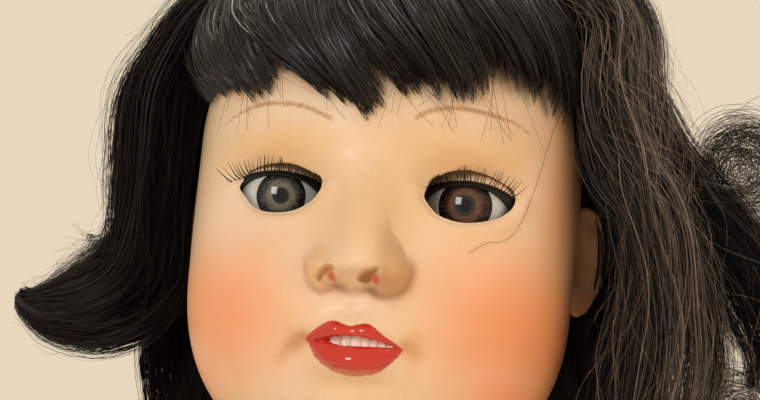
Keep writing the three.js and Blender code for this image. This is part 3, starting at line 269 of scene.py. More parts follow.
def paint(piece: Piece, name: str, values: Array) -> None:
    """Stores one number, or three, for each corner, for a material to read.

    Args:
        piece: The piece to mark.
        name: Name that the material looks up.
        values: One value, or one row of three, for each corner.
    """
    wide = values.ndim == 2
    layer = piece.data.attributes.new(name, "FLOAT_VECTOR" if wide else "FLOAT", "POINT")
    layer.data.foreach_set("vector" if wide else "value", np.ascontiguousarray(values, np.float32).ravel())


def applied(piece: Piece) -> Piece:
    """Applies every modifier of a piece to its mesh.

    Args:
        piece: The piece.

    Returns:
        The piece.
    """
    graph = bpy.context.evaluated_depsgraph_get()
    done = bpy.data.meshes.new_from_object(piece.evaluated_get(graph))
    piece.modifiers.clear()
    old = piece.data
    piece.data = done
    bpy.data.meshes.remove(old)
    return piece


def carve(piece: Piece, tools: Sequence[Piece]) -> Piece:
    """Cuts closed tools out of a closed piece and deletes the tools.

    Args:
        piece: The solid to cut.
        tools: Solids to take away.

    Returns:
        The piece.
    """
    for tool in tools:
        cut = piece.modifiers.new("cut", "BOOLEAN")
        cut.operation = "DIFFERENCE"
        cut.solver = "MANIFOLD"
        cut.object = tool
    applied(piece)
    for tool in tools:
        bpy.data.objects.remove(tool, do_unlink=True)
    return piece


def smoothed(points: Array, edges: Array, rounds: int, share: float = 0.5) -> Array:
    """Evens out corner places along their edges.

    Args:
        points: Corner places.
        edges: Pairs of corner numbers.
        rounds: How often to repeat.
        share: How far each corner goes towards the middle of its neighbours.

    Returns:
        The evened places.
    """
    count = np.bincount(edges.ravel(), minlength=len(points)).astype(float)[:, None]
    for _ in range(rounds):
        total = np.zeros_like(points)
        for axis in range(3):
            total[:, axis] += np.bincount(edges[:, 0], points[edges[:, 1], axis], len(points))
            total[:, axis] += np.bincount(edges[:, 1], points[edges[:, 0], axis], len(points))
        points = points + share * (total / np.maximum(count, 1) - points)
    return points


def dress(piece: Piece, material: Material, body: str) -> Piece:
    """Gives a piece its finish and the body that it rides on.

    Args:
        piece: The piece.
        material: Its finish.
        body: CAD body that carries it.

    Returns:
        The piece.
    """
    piece.data.materials.clear()
    piece.data.materials.append(material)
    LOG.info("%s made", piece.name)
    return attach(piece, body)


# Curves and outlines


def clamp01(value: Array) -> Array:
    """Values held between 0 and 1."""
    return np.clip(value, 0.0, 1.0)


def ease(value: Array) -> Array:
    """A soft step from 0 to 1."""
    v = clamp01(value)
    return v * v * (3 - 2 * v)


def hump(value: Array) -> Array:
    """A bell that is 1 at 0 and fades within a few units."""
    return np.exp(-(value**2))


def spot(x: Array, z: Array, wide: float, tall: float) -> Array:
    """An oval spot that is 1 in its middle and fades outwards."""
    return np.exp(-((x / wide) ** 2) - (z / tall) ** 2)


def circle(count: int) -> Array:
    """Angles evenly round a whole turn."""
    return np.linspace(0, 2 * math.pi, count, endpoint=False)


def unit(vectors: Array) -> Array:
    """Vectors brought to a length of one."""
    return vectors / np.maximum(np.linalg.norm(vectors, axis=-1, keepdims=True), 1e-9)


def spline(points: Array, count: int, closed: bool = False) -> Array:
    """A smooth path through points.

    Args:
        points: Places on the path.
        count: Number of places to give back.
        closed: Whether the path returns to its start.

    Returns:
        Places evenly spaced in the path's own parameter.
    """
    points = np.asarray(points, float)
    n = len(points)
    spans = n if closed else n - 1
    t = np.linspace(0, spans, count, endpoint=not closed)
    i = np.minimum(t.astype(int), spans - 1)
    f = (t - i)[:, None]
    pick = (lambda k: points[k % n]) if closed else (lambda k: points[np.clip(k, 0, n - 1)])
    a, b, c, d = pick(i - 1), pick(i), pick(i + 1), pick(i + 2)
    if not closed:
        a = np.where((i == 0)[:, None], 2 * b - c, a)
        d = np.where((i == n - 2)[:, None], 2 * c - b, d)
    return 0.5 * (2 * b + (c - a) * f + (2 * a - 5 * b + 4 * c - d) * f**2 + (3 * b - a - 3 * c + d) * f**3)


def edge_distance(places: Array, path: Array, closed: bool) -> tuple[Array, Array]:
    """Distance from places to a path in the plane.

    Args:
        places: Places, one row each.
        path: Corners of the path.
        closed: Whether the path returns to its start.

    Returns:
        The distance, negative inside a closed path, and the share of the path at the nearest point.
    """
    nxt = np.roll(path, -1, 0) if closed else path[1:]
    start = path if closed else path[:-1]
    best = np.full(len(places), 1e9)
    share = np.zeros(len(places))
    inside = np.zeros(len(places), bool)
    x, z = places[:, 0], places[:, 1]
    for k, (a, b) in enumerate(zip(start, nxt)):
        ab = b - a
        t = clamp01(((x - a[0]) * ab[0] + (z - a[1]) * ab[1]) / max(ab @ ab, 1e-9))
        d = np.hypot(x - a[0] - t * ab[0], z - a[1] - t * ab[1])
        near = d < best
        best = np.where(near, d, best)
        share = np.where(near, (k + t) / len(start), share)
        if closed:
            over = (a[1] > z) != (b[1] > z)
            slope = ab[0] / ab[1] if ab[1] else 0.0
            inside ^= over & (x < a[0] + slope * (z - a[1]))
    return np.where(inside, -best, best), share


# Material graphs


class Graph:
    """Short-hand for building one node tree."""

    def __init__(self, tree: Tree) -> None:
        """Keeps the tree that nodes are added to."""
        self.tree = tree

    def node(self, kind: str, **settings: object) -> Node:
        """Adds a node and sets its options.

        Args:
            kind: Blender's name for the node.
            settings: Its options by name.

        Returns:
            The node.
        """
        made = self.tree.nodes.new(kind)
        for name, value in settings.items():
            setattr(made, name, value)
        return made

    def put(self, kind: str, feeds: dict[Key, Feed], output: Key, **settings: object) -> Socket:
        """Adds a node, feeds it and picks one of its outputs.

        Args:
            kind: Blender's name for the node.
            feeds: What goes in, by name or number of the socket.
            output: Name or number of the output.
            settings: The node's options by name.

        Returns:
            The output.
        """
        made = self.node(kind, **settings)
        for key, value in feeds.items():
            self.feed(made.inputs[key], value)
        return made.outputs[output]

    def feed(self, socket: Socket, value: Feed) -> None:
        """Links a socket to another, or sets its number or colour.

        Args:
            socket: Socket to feed.
            value: Another socket, a number or a colour.
        """
        if isinstance(value, Socket):
            self.tree.links.new(value, socket)
        elif socket.type == "RGBA" and not isinstance(value, (int, float)):
            socket.default_value = (*value[:3], 1.0)
        else:
            socket.default_value = value

    def attribute(self, name: str, output: str = "Fac") -> Socket:
        """A value painted on the mesh."""
        return self.node("ShaderNodeAttribute", attribute_name=name).outputs[output]

    def place(self) -> Socket:
        """Places in the piece's own frame, in metres."""
        return self.node("ShaderNodeTexCoord").outputs["Object"]

    def noise(self, vector: Feed, scale: Feed, detail: float = 3.0, rough: float = 0.55) -> Socket:
        """Cloudy values from 0 to 1."""
        feeds = {"Vector": vector, "Scale": scale, "Detail": detail, "Roughness": rough}
        return self.put("ShaderNodeTexNoise", feeds, "Fac")

    def math(self, operation: str, a: Feed, b: Feed = 0.0, clamp: bool = False) -> Socket:
        """Arithmetic on two values."""
        return self.put("ShaderNodeMath", {0: a, 1: b}, 0, operation=operation, use_clamp=clamp)

    def weighed(self, a: Feed, b: Feed, share: float) -> Socket:
        """A share of one value and the rest of another, added."""
        return self.math("ADD", self.math("MULTIPLY", a, share), self.math("MULTIPLY", b, 1 - share))

    def vector(self, operation: str, a: Feed, b: Feed = (0.0, 0.0, 0.0)) -> Socket:
        """Arithmetic on two vectors."""
        return self.put("ShaderNodeVectorMath", {0: a, 1: b}, 0, operation=operation)

    def span(self, value: Feed, low: float, high: float, to: Pair = (0.0, 1.0)) -> Socket:
        """Carries a range of values over to another range, softly and without overshoot."""
        feeds = {"Value": value, "From Min": low, "From Max": high, "To Min": to[0], "To Max": to[1]}
        return self.put("ShaderNodeMapRange", feeds, 0, interpolation_type="SMOOTHSTEP")

    def mix(self, share: Feed, a: Feed, b: Feed) -> Socket:
        """Mixes two colours."""
        feeds = {"Factor": share, 6: a, 7: b}
        return self.put("ShaderNodeMix", feeds, 2, data_type="RGBA", clamp_factor=True)

    def ramp(self, value: Feed, stops: Sequence[tuple[float, Colour]]) -> Socket:
        """Colours along a value.

        Args:
            value: Value from 0 to 1.
            stops: Places and their colours.

        Returns:
            The colour.
        """
        made = self.node("ShaderNodeValToRGB")
        marks = made.color_ramp.elements
        while len(marks) < len(stops):
            marks.new(0.5)
        for mark, (at, colour) in zip(marks, stops):
            mark.position = at
            mark.color = (*colour, 1.0)
        self.feed(made.inputs["Fac"], value)
        return made.outputs["Color"]

    def seen(self) -> Socket:
        """1 for rays that show the backdrop: straight from the camera, mirrored or through glass.

        Returns:
            The mask.
        """
        path = self.node("ShaderNodeLightPath")
        straight = self.math("MAXIMUM", path.outputs["Is Camera Ray"], path.outputs["Is Transmission Ray"])
        return self.math("MAXIMUM", straight, path.outputs["Is Glossy Ray"])

    def bump(self, height: Feed, distance: float) -> Socket:
        """A normal that follows a height."""
        return self.put("ShaderNodeBump", {"Height": height, "Distance": distance}, "Normal")

    def group(self, tree: Tree, **inputs: Feed) -> Node:
        """Adds a shared effect and feeds its inputs.

        Args:
            tree: The effect.
            inputs: What goes in, by name.

        Returns:
            The group's node.
        """
        made = self.node("ShaderNodeGroup", node_tree=tree)
        for name, value in inputs.items():
            self.feed(made.inputs[name], value)
        return made

    def either(self, share: Socket, first: Socket, second: Socket, end: Node) -> None:
        """Shows one shader or, by a share, another."""
        both = self.put("ShaderNodeMixShader", {0: share, 1: first, 2: second}, 0)
        self.feed(end.inputs["Surface"], both)


def shared_effect(
    name: str, inputs: Sequence[tuple[str, str]], outputs: Sequence[tuple[str, str]],
    build: Callable[[Graph, bpy.types.NodeOutputs, bpy.types.NodeInputs], None],
) -> Tree:
    """Makes a node group once and hands it out afterwards.

    Args:
        name: Name of the effect.
        inputs: Names and socket types that go in.
        outputs: Names and socket types that come out.
        build: Fills the group between its input and output sockets.

    Returns:
        The node group.
    """
    tree = bpy.data.node_groups.get(name)
    if tree:
        return tree
    tree = bpy.data.node_groups.new(name, "ShaderNodeTree")
    for way, sockets in (("INPUT", inputs), ("OUTPUT", outputs)):
        for label, kind in sockets:
            tree.interface.new_socket(label, in_out=way, socket_type=kind)
    graph = Graph(tree)
    start, end = graph.node("NodeGroupInput"), graph.node("NodeGroupOutput")
    build(graph, start.outputs, end.inputs)
    return tree


def mottle_effect() -> Tree:
    """Hand-painted unevenness: a tint mask, a roughness shift and a fine pitted height.

    Returns:
        The node group.
    """

    def build(graph: Graph, given: bpy.types.NodeOutputs, result: bpy.types.NodeInputs) -> None:
        """Fills the group."""
        broad = graph.noise(given["Place"], 55.0, 3.0)
        fine = graph.noise(given["Place"], 900.0, 2.0)
        grain = graph.noise(given["Place"], 3200.0, 1.0)
        graph.feed(result["Tint"], graph.weighed(broad, fine, 0.75))
        graph.feed(result["Wear"], graph.span(broad, 0.35, 0.7))
        graph.feed(result["Height"], graph.weighed(fine, grain, 0.7))

    return shared_effect(
        "PaintMottle", [("Place", "NodeSocketVector")],
        [("Tint", "NodeSocketFloat"), ("Wear", "NodeSocketFloat"), ("Height", "NodeSocketFloat")], build)


def weave_effect() -> Tree:
    """Plain cotton weave from places round an axis: thread height and slubs.

    Returns:
        The node group.
    """

    def build(graph: Graph, given: bpy.types.NodeOutputs, result: bpy.types.NodeInputs) -> None:
        """Fills the group."""
        split = graph.node("ShaderNodeSeparateXYZ")
        graph.feed(split.inputs[0], given["Place"])
        angle = graph.math("ARCTAN2", split.outputs[0], graph.math("MULTIPLY", split.outputs[1], -1.0))
        feeds = {0: graph.math("MULTIPLY", angle, given["Girth"]), 1: split.outputs[2]}
        flat = graph.put("ShaderNodeCombineXYZ", feeds, 0)

        def threads(axis: str) -> Socket:
            """Threads that lie side by side along one axis."""
            feeds = {"Vector": flat, "Scale": 480.0, "Distortion": 0.8, "Detail Scale": 2.0}
            return graph.put("ShaderNodeTexWave", feeds, "Fac", wave_type="BANDS", bands_direction=axis)

        graph.feed(result["Height"], graph.math("MAXIMUM", threads("X"), threads("Y")))
        drawn = graph.vector("MULTIPLY", flat, (1.0, 0.35, 1.0))
        graph.feed(result["Slub"], graph.noise(drawn, 420.0, 4.0))

    return shared_effect(
        "CottonWeave", [("Place", "NodeSocketVector"), ("Girth", "NodeSocketFloat")],
        [("Height", "NodeSocketFloat"), ("Slub", "NodeSocketFloat")], build)


def new_material(name: str) -> tuple[Material, Graph, Node]:
    """An empty material with one shader.

    Args:
        name: Name of the finish.

    Returns:
        The material, its graph and its Principled shader.
    """
    material = bpy.data.materials.new(name)
    material.use_nodes = True
    graph = Graph(material.node_tree)
    shader = next(n for n in material.node_tree.nodes if n.type == "BSDF_PRINCIPLED")
    return material, graph, shader


def settle(graph: Graph, shader: Node, **values: Feed) -> None:
    """Sets shader sockets by name, with underscores for spaces.

    Args:
        graph: Graph of the material.
        shader: The shader.
        values: What each socket gets.
    """
    for name, value in values.items():
        graph.feed(shader.inputs[name.replace("_", " ")], value)


# Finishes


@dataclass(frozen=True)
class SkinFinish:
    """Flesh-painted bisque or composition with a satin varnish, and painted shade in its hollows and creases.
    """

    name: str
    flesh: Colour = (0.735, 0.545, 0.37)
    # deep is the paint's random darker tone and also the colour of painted shade in hollows
    deep: Colour = (0.66, 0.385, 0.16)
    blush: Colour = (0.80, 0.235, 0.08)
    lips: Colour = (0.53, 0.020, 0.004)
    lips_deep: Colour = (0.44, 0.013, 0.003)
    brow: Colour = (0.40, 0.185, 0.075)
    coral: Colour = (0.62, 0.13, 0.08)
    # rim and fold colour painted shade: black inside the eye openings, warm brown in creases
    rim: Colour = (0.016, 0.011, 0.009)
    fold: Colour = (0.34, 0.135, 0.04)
    painted: bool = True
    roughness: Pair = (0.42, 0.55)

    def build(self) -> Material:
        """Makes the material.

        Returns:
            The material.
        """
        material, graph, shader = new_material(self.name)
        effect = graph.group(mottle_effect(), Place=graph.place())
        tint = effect.outputs["Tint"]
        colour = graph.mix(graph.span(tint, 0.35, 0.68, (0.0, 0.45)), self.flesh, self.deep)
        # Painted shade: hollows turn towards the deep colour
        colour = graph.mix(graph.math("MULTIPLY", graph.attribute("hollow"), 0.75, True), colour, self.deep)
        soft = graph.span(tint, 0.1, 0.75, (1.0, 0.72))
        colour = graph.mix(graph.math("MULTIPLY", graph.attribute("blush"), soft, True), colour, self.blush)
        rough: Feed = graph.span(effect.outputs["Wear"], 0.0, 1.0, self.roughness)
        coat: Feed = 0.06
        if self.painted:
            drawn = graph.vector("MULTIPLY", graph.attribute("brow_place", "Vector"), (5.2, 1.1, 0.0))
            strokes = graph.span(graph.noise(drawn, 1.0, 2.0), 0.28, 0.62, (0.35, 1.0))
            brow = graph.math("MULTIPLY", graph.attribute("brow"), strokes, True)
            colour = graph.mix(graph.math("MULTIPLY", brow, 0.92), colour, self.brow)
            # Painted shade round the nose, on its shaded side, in the nostrils and in creases
            colour = graph.mix(graph.attribute("fold"), colour, self.fold)
            colour = graph.mix(graph.attribute("coral"), colour, self.coral)
            edge = graph.noise(graph.place(), 1500.0, 2.0)
            wobble = graph.math("ADD", graph.attribute("lip"), graph.span(edge, 0.3, 0.7, (-0.11, 0.11)))
            lip = graph.span(wobble, 0.2, -0.2)
            colour = graph.mix(lip, colour, graph.mix(graph.span(tint, 0.3, 0.75), self.lips, self.lips_deep))
            # Painted shade: black inside the eye openings
            colour = graph.mix(graph.attribute("rim"), colour, self.rim)
            rough = graph.mix(lip, rough, (0.13, 0.13, 0.13))
            coat = graph.span(lip, 0.0, 1.0, (0.05, 0.95))
        settle(graph, shader, Base_Color=colour, Roughness=rough, Coat_Weight=coat, Coat_Roughness=0.1,
               Specular_IOR_Level=0.22, Subsurface_Weight=0.06, Subsurface_Radius=(0.0035, 0.0014, 0.0007),
               Subsurface_Scale=1.0, Normal=graph.bump(effect.outputs["Height"], 0.00006))
        return material


@dataclass(frozen=True)
class EyeFinish:
    """Glass eye: pupil, streaked iris and grey-white with painted shade towards its edges, under a clear
    glaze.
    """

    name: str
    iris: float  # radius of the iris, mm
    pupil: float  # radius of the pupil, mm
    core: Colour  # middle of the pupil
    ring: Colour  # edge of the pupil
    inner: Colour  # streaks next to the pupil
    middle: Colour
    outer: Colour
    white: Colour = (0.52, 0.51, 0.47)
    vein: Colour = (0.44, 0.435, 0.40)
    shade: Colour = (0.13, 0.125, 0.115)
    speck: Colour = (0.55, 0.46, 0.33)

    def build(self) -> Material:
        """Makes the material.

        Returns:
            The material.
        """
        material, graph, shader = new_material(self.name)
        place = graph.attribute("iris", "Vector")
        split = graph.node("ShaderNodeSeparateXYZ")
        graph.feed(split.inputs[0], place)
        radius = split.outputs[2]
        way = graph.vector("NORMALIZE", graph.vector("MULTIPLY", place, (1.0, 1.0, 0.0)))
        streaks = graph.vector("ADD", way, graph.vector("MULTIPLY", place, (0.0, 0.0, 0.16)))
        bright = graph.weighed(graph.noise(streaks, 7.0, 3.0, 0.6), graph.noise(streaks, 19.0, 3.0, 0.6), 0.6)
        run = graph.span(radius, self.pupil, self.iris)
        wander = graph.math("ADD", run, graph.span(bright, 0.3, 0.7, (0.16, -0.2)))
        stops = [(0.0, self.inner), (0.16, self.inner), (0.42, self.middle), (0.85, self.outer)]
        iris = graph.ramp(wander, stops)
        iris = graph.mix(graph.span(bright, 0.5, 0.66, (0.0, 0.7)), iris, self.inner)
        iris = graph.mix(graph.span(bright, 0.48, 0.34, (0.0, 0.75)), iris, self.outer)
        iris = graph.mix(graph.span(radius, self.iris * 0.80, self.iris * 0.97), iris, self.outer)
        pupil = graph.mix(graph.span(radius, self.pupil * 0.45, self.pupil * 0.8), self.core, self.ring)
        colour = graph.mix(graph.span(radius, self.pupil - 0.16, self.pupil + 0.16), pupil, iris)
        cells = graph.put("ShaderNodeTexVoronoi", {"Vector": place, "Scale": 0.62}, "Distance")
        specks = graph.span(cells, 0.085, 0.045, (0.0, 0.55))
        colour = graph.mix(specks, colour, self.speck)
        white = graph.mix(graph.span(graph.noise(place, 0.5, 3.0), 0.35, 0.7), self.white, self.vein)
        # Painted shade: the white darkens towards its edges and corners
        white = graph.mix(graph.span(radius, self.iris + 1.5, 13.0), white, self.shade)
        colour = graph.mix(graph.span(radius, self.iris - 0.12, self.iris + 0.14), colour, white)
        rough = graph.span(radius, self.iris, self.iris + 0.5, (0.6, 0.5))
        settle(graph, shader, Base_Color=colour, Roughness=rough, Coat_Weight=1.0, Coat_Roughness=0.015,
               Coat_IOR=1.38, Specular_IOR_Level=0.0)
        return material


@dataclass(frozen=True)
class HairFinish:
    """Near-black hair with browner strands and a grey gloss."""

    name: str
    dark: Colour = (0.0055, 0.004, 0.0032)
    brown: Colour = (0.046, 0.026, 0.015)
    roughness: float = 0.46
    gloss: float = 0.17
    core: bool = False

    def build(self) -> Material:
        """Makes the material.

        Returns:
            The material.
        """
        material, graph, shader = new_material(self.name)
        if self.core:
            streak = graph.noise(graph.vector("MULTIPLY", graph.place(), (1.0, 1.0, 0.12)), 900.0, 3.0)
            colour = graph.mix(graph.span(streak, 0.45, 0.8), (0.004, 0.003, 0.0025), self.dark)
            settle(graph, shader, Base_Color=colour, Roughness=0.75, Specular_IOR_Level=0.15,
                   Normal=graph.bump(streak, 0.0004))
            return material
        along = graph.noise(graph.place(), 260.0, 2.0)
        tone = graph.span(graph.attribute("tone"), 0.35, 1.0)
        share = graph.math("MULTIPLY", tone, graph.span(along, 0.25, 0.75, (0.55, 1.0)), True)
        rough = graph.span(along, 0.2, 0.8, (self.roughness - 0.06, self.roughness + 0.12))
        settle(graph, shader, Base_Color=graph.mix(share, self.dark, self.brown), Roughness=rough,
               Specular_IOR_Level=self.gloss, Sheen_Weight=0.05, Sheen_Roughness=0.4)
        return material


@dataclass(frozen=True)
class PlainFinish:
    """A finish of two tones that drift into each other, with a little grain."""

    name: str
    light: Colour
    dark: Colour
    scale: float = 300.0
    roughness: float = 0.5
    metal: float = 0.0
    coat: float = 0.0
    relief: float = 0.00005
    stretch: Vec3 = (1.0, 1.0, 1.0)

    def build(self) -> Material:
        """Makes the material.

        Returns:
            The material.
        """
        material, graph, shader = new_material(self.name)
        place = graph.vector("MULTIPLY", graph.place(), self.stretch)
        cloud = graph.noise(place, self.scale, 4.0)
        tone = graph.weighed(cloud, graph.noise(place, self.scale * 9, 2.0), 0.7)
        settle(graph, shader, Base_Color=graph.mix(graph.span(tone, 0.3, 0.7), self.dark, self.light),
               Roughness=graph.span(cloud, 0.2, 0.8, (self.roughness - 0.06, self.roughness + 0.08)),
               Metallic=self.metal, Coat_Weight=self.coat, Coat_Roughness=0.08,
               Normal=graph.bump(tone, self.relief))
        return material


@dataclass(frozen=True)
class CottonFinish:
    """White cotton with a visible weave, uneven in its slubs and darker between its threads as painted shade.
    """

    name: str
    light: Colour = (0.80, 0.775, 0.715)
    dark: Colour = (0.70, 0.67, 0.60)
    girth: float = 0.042  # radius that the threads are spaced for

    def build(self) -> Material:
        """Makes the material.

        Returns:
            The material.
        """
        material, graph, shader = new_material(self.name)
        effect = graph.group(weave_effect(), Place=graph.attribute("cloth", "Vector"), Girth=self.girth)
        height = effect.outputs["Height"]
        tone = graph.span(graph.weighed(effect.outputs["Slub"], height, 0.6), 0.25, 0.75)
        colour = graph.mix(tone, self.dark, self.light)
        settle(graph, shader, Base_Color=colour, Roughness=0.88, Sheen_Weight=0.25, Sheen_Roughness=0.5,
               Specular_IOR_Level=0.2, Normal=graph.bump(height, 0.00012))
        return material


# Head form


@dataclass(frozen=True)
class HeadForm:
    """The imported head's form as a field, negative inside, in head coordinates."""

    cranium: tuple[Vec3, Vec3, float] = ((0.0, 3.0, 14.0), (49.5, 55.0, 52.0), 2.1)
    face: tuple[Vec3, Vec3, float] = ((0.0, -4.0, -20.0), (49.0, 47.0, 46.5), 2.35)
    ear: tuple[Vec3, Vec3] = ((47.5, 9.0, -6.0), (5.0, 8.0, 13.5))
    blend: float = 9.0
    neck_axis: float = 6.0
    neck_radius: float = 21.0
    neck_drop: float = 80.0
    ball_radius: float = 23.0
    ray_drop: float = 18.0
    nose_top: float = 12.0
    nose_tip: float = -17.5
    nose_rise: float = 11.5
    mounds: Rows = (  # x, height, width, tallness and rise, on both sides unless x is 0
        (23.4, 1.0, 13.0, 9.0, -2.6), (0.0, 12.0, 9.0, 10.0, -0.8), (27.0, -24.0, 16.0, 14.0, 1.8),
        (9.6, -20.5, 3.8, 4.4, 4.6), (4.6, -23.0, 2.2, 1.8, -2.4), (0.0, -35.5, 15.0, 11.0, 2.2),
        (3.96, -33.3, 5.0, 2.6, 1.8), (0.0, -41.5, 7.5, 3.0, 2.8), (0.0, -47.0, 9.0, 2.6, -1.4),
        (15.5, -37.5, 3.0, 4.5, -1.4), (0.0, -54.5, 11.0, 8.0, 2.6))

    @staticmethod
    def rounded(p: Array, centre: Vec3, half: Vec3, power: float) -> Array:
        """Field of a rounded body."""
        total = sum(np.abs((p[..., i] - centre[i]) / half[i]) ** power for i in range(3))
        return (total ** (1 / power) - 1) * min(half)

    @staticmethod
    def joined(a: Array, b: Array, width: float) -> Array:
        """Two fields melted into one."""
        near = np.maximum(width - np.abs(a - b), 0) / width
        return np.minimum(a, b) - near * near * width * 0.25

    def plain(self, p: Array) -> Array:
        """Head and neck without features.

        Args:
            p: Points in head coordinates.

        Returns:
            The field at each point.
        """
        skull = self.joined(self.rounded(p, *self.cranium), self.rounded(p, *self.face), self.blend)
        neck = np.hypot(p[..., 0], p[..., 1] - self.neck_axis) - self.neck_radius
        neck = np.maximum(neck, p[..., 2] + 20.0)
        return self.joined(skull, neck, self.blend)

    def features(self, x: Array, z: Array) -> Array:
        """Rise of the nose, cheeks, lips and chin over the plain face.

        Args:
            x: Places across the face, in mm.
            z: Their heights.

        Returns:
            The rise at each place, in mm.
        """
        run = clamp01((self.nose_top - z) / (self.nose_top - self.nose_tip))
        below = np.maximum(0, self.nose_tip - z)
        total = self.nose_rise * run**1.7 * np.exp(-((below / 4.4) ** 3))
        total = total * np.exp(-((np.abs(x) / (4.6 + 3.4 * run)) ** 2.4))
        for at, level, wide, tall, rise in self.mounds:
            for side in (1, -1) if at else (1,):
                total = total + rise * spot(x - side * at, z - level, wide, tall)
        return total

    def scalp(self, p: Array) -> Array:
        """The head without its ears."""
        return self.plain(p) - ease((-p[..., 1] - 12) / 22) * self.features(p[..., 0], p[..., 2])

    def whole(self, p: Array) -> Array:
        """The head with its ears."""
        mirrored = np.concatenate([np.abs(p[..., :1]), p[..., 1:]], -1)
        return self.joined(self.scalp(p), self.rounded(mirrored, *self.ear, 2.0), 3.0)

    @property
    def origin(self) -> Array:
        """Where the rays of the head's grid start."""
        return np.array([0.0, self.neck_axis, -self.ray_drop])

    @staticmethod
    def direction(tilt: Array, turn: Array) -> Array:
        """Unit vectors at an angle from straight up, turned from straight ahead to the doll's left."""
        return np.stack([np.sin(tilt) * np.sin(turn), -np.sin(tilt) * np.cos(turn), np.cos(tilt)], -1)

    def surface(self, tilt: Array, turn: Array, standoff: Union[float, Array] = 0.0,
                shape: Union[Callable[[Array], Array], None] = None) -> Array:
        """Points of the head along rays.

        Args:
            tilt: Angles from straight up.
            turn: Angles from straight ahead.
            standoff: Distance added along each ray.
            shape: Field to meet; the whole head where none is given.

        Returns:
            The points in head coordinates.
        """
        shape = shape or self.whole
        way = self.direction(tilt, turn)
        near = np.full(way.shape[:-1], 4.0)
        far = np.full(way.shape[:-1], 130.0)
        for _ in range(24):
            middle = (near + far) / 2
            inside = shape(self.origin + way * middle[..., None]) < 0
            near = np.where(inside, middle, near)
            far = np.where(inside, far, middle)
        return self.origin + way * (near + standoff)[..., None]

    def front(self, x: Array, z: Array) -> Array:
        """y of the face at places seen from the front.

        Args:
            x: Places across the face, in mm.
            z: Their heights.

        Returns:
            y at each place.
        """
        near, far = np.zeros_like(x), np.full_like(x, -90.0)
        for _ in range(24):
            middle = (near + far) / 2
            inside = self.scalp(np.stack([x, middle, z], -1)) < 0
            near = np.where(inside, middle, near)
            far = np.where(inside, far, middle)
        return near


FORM = HeadForm()


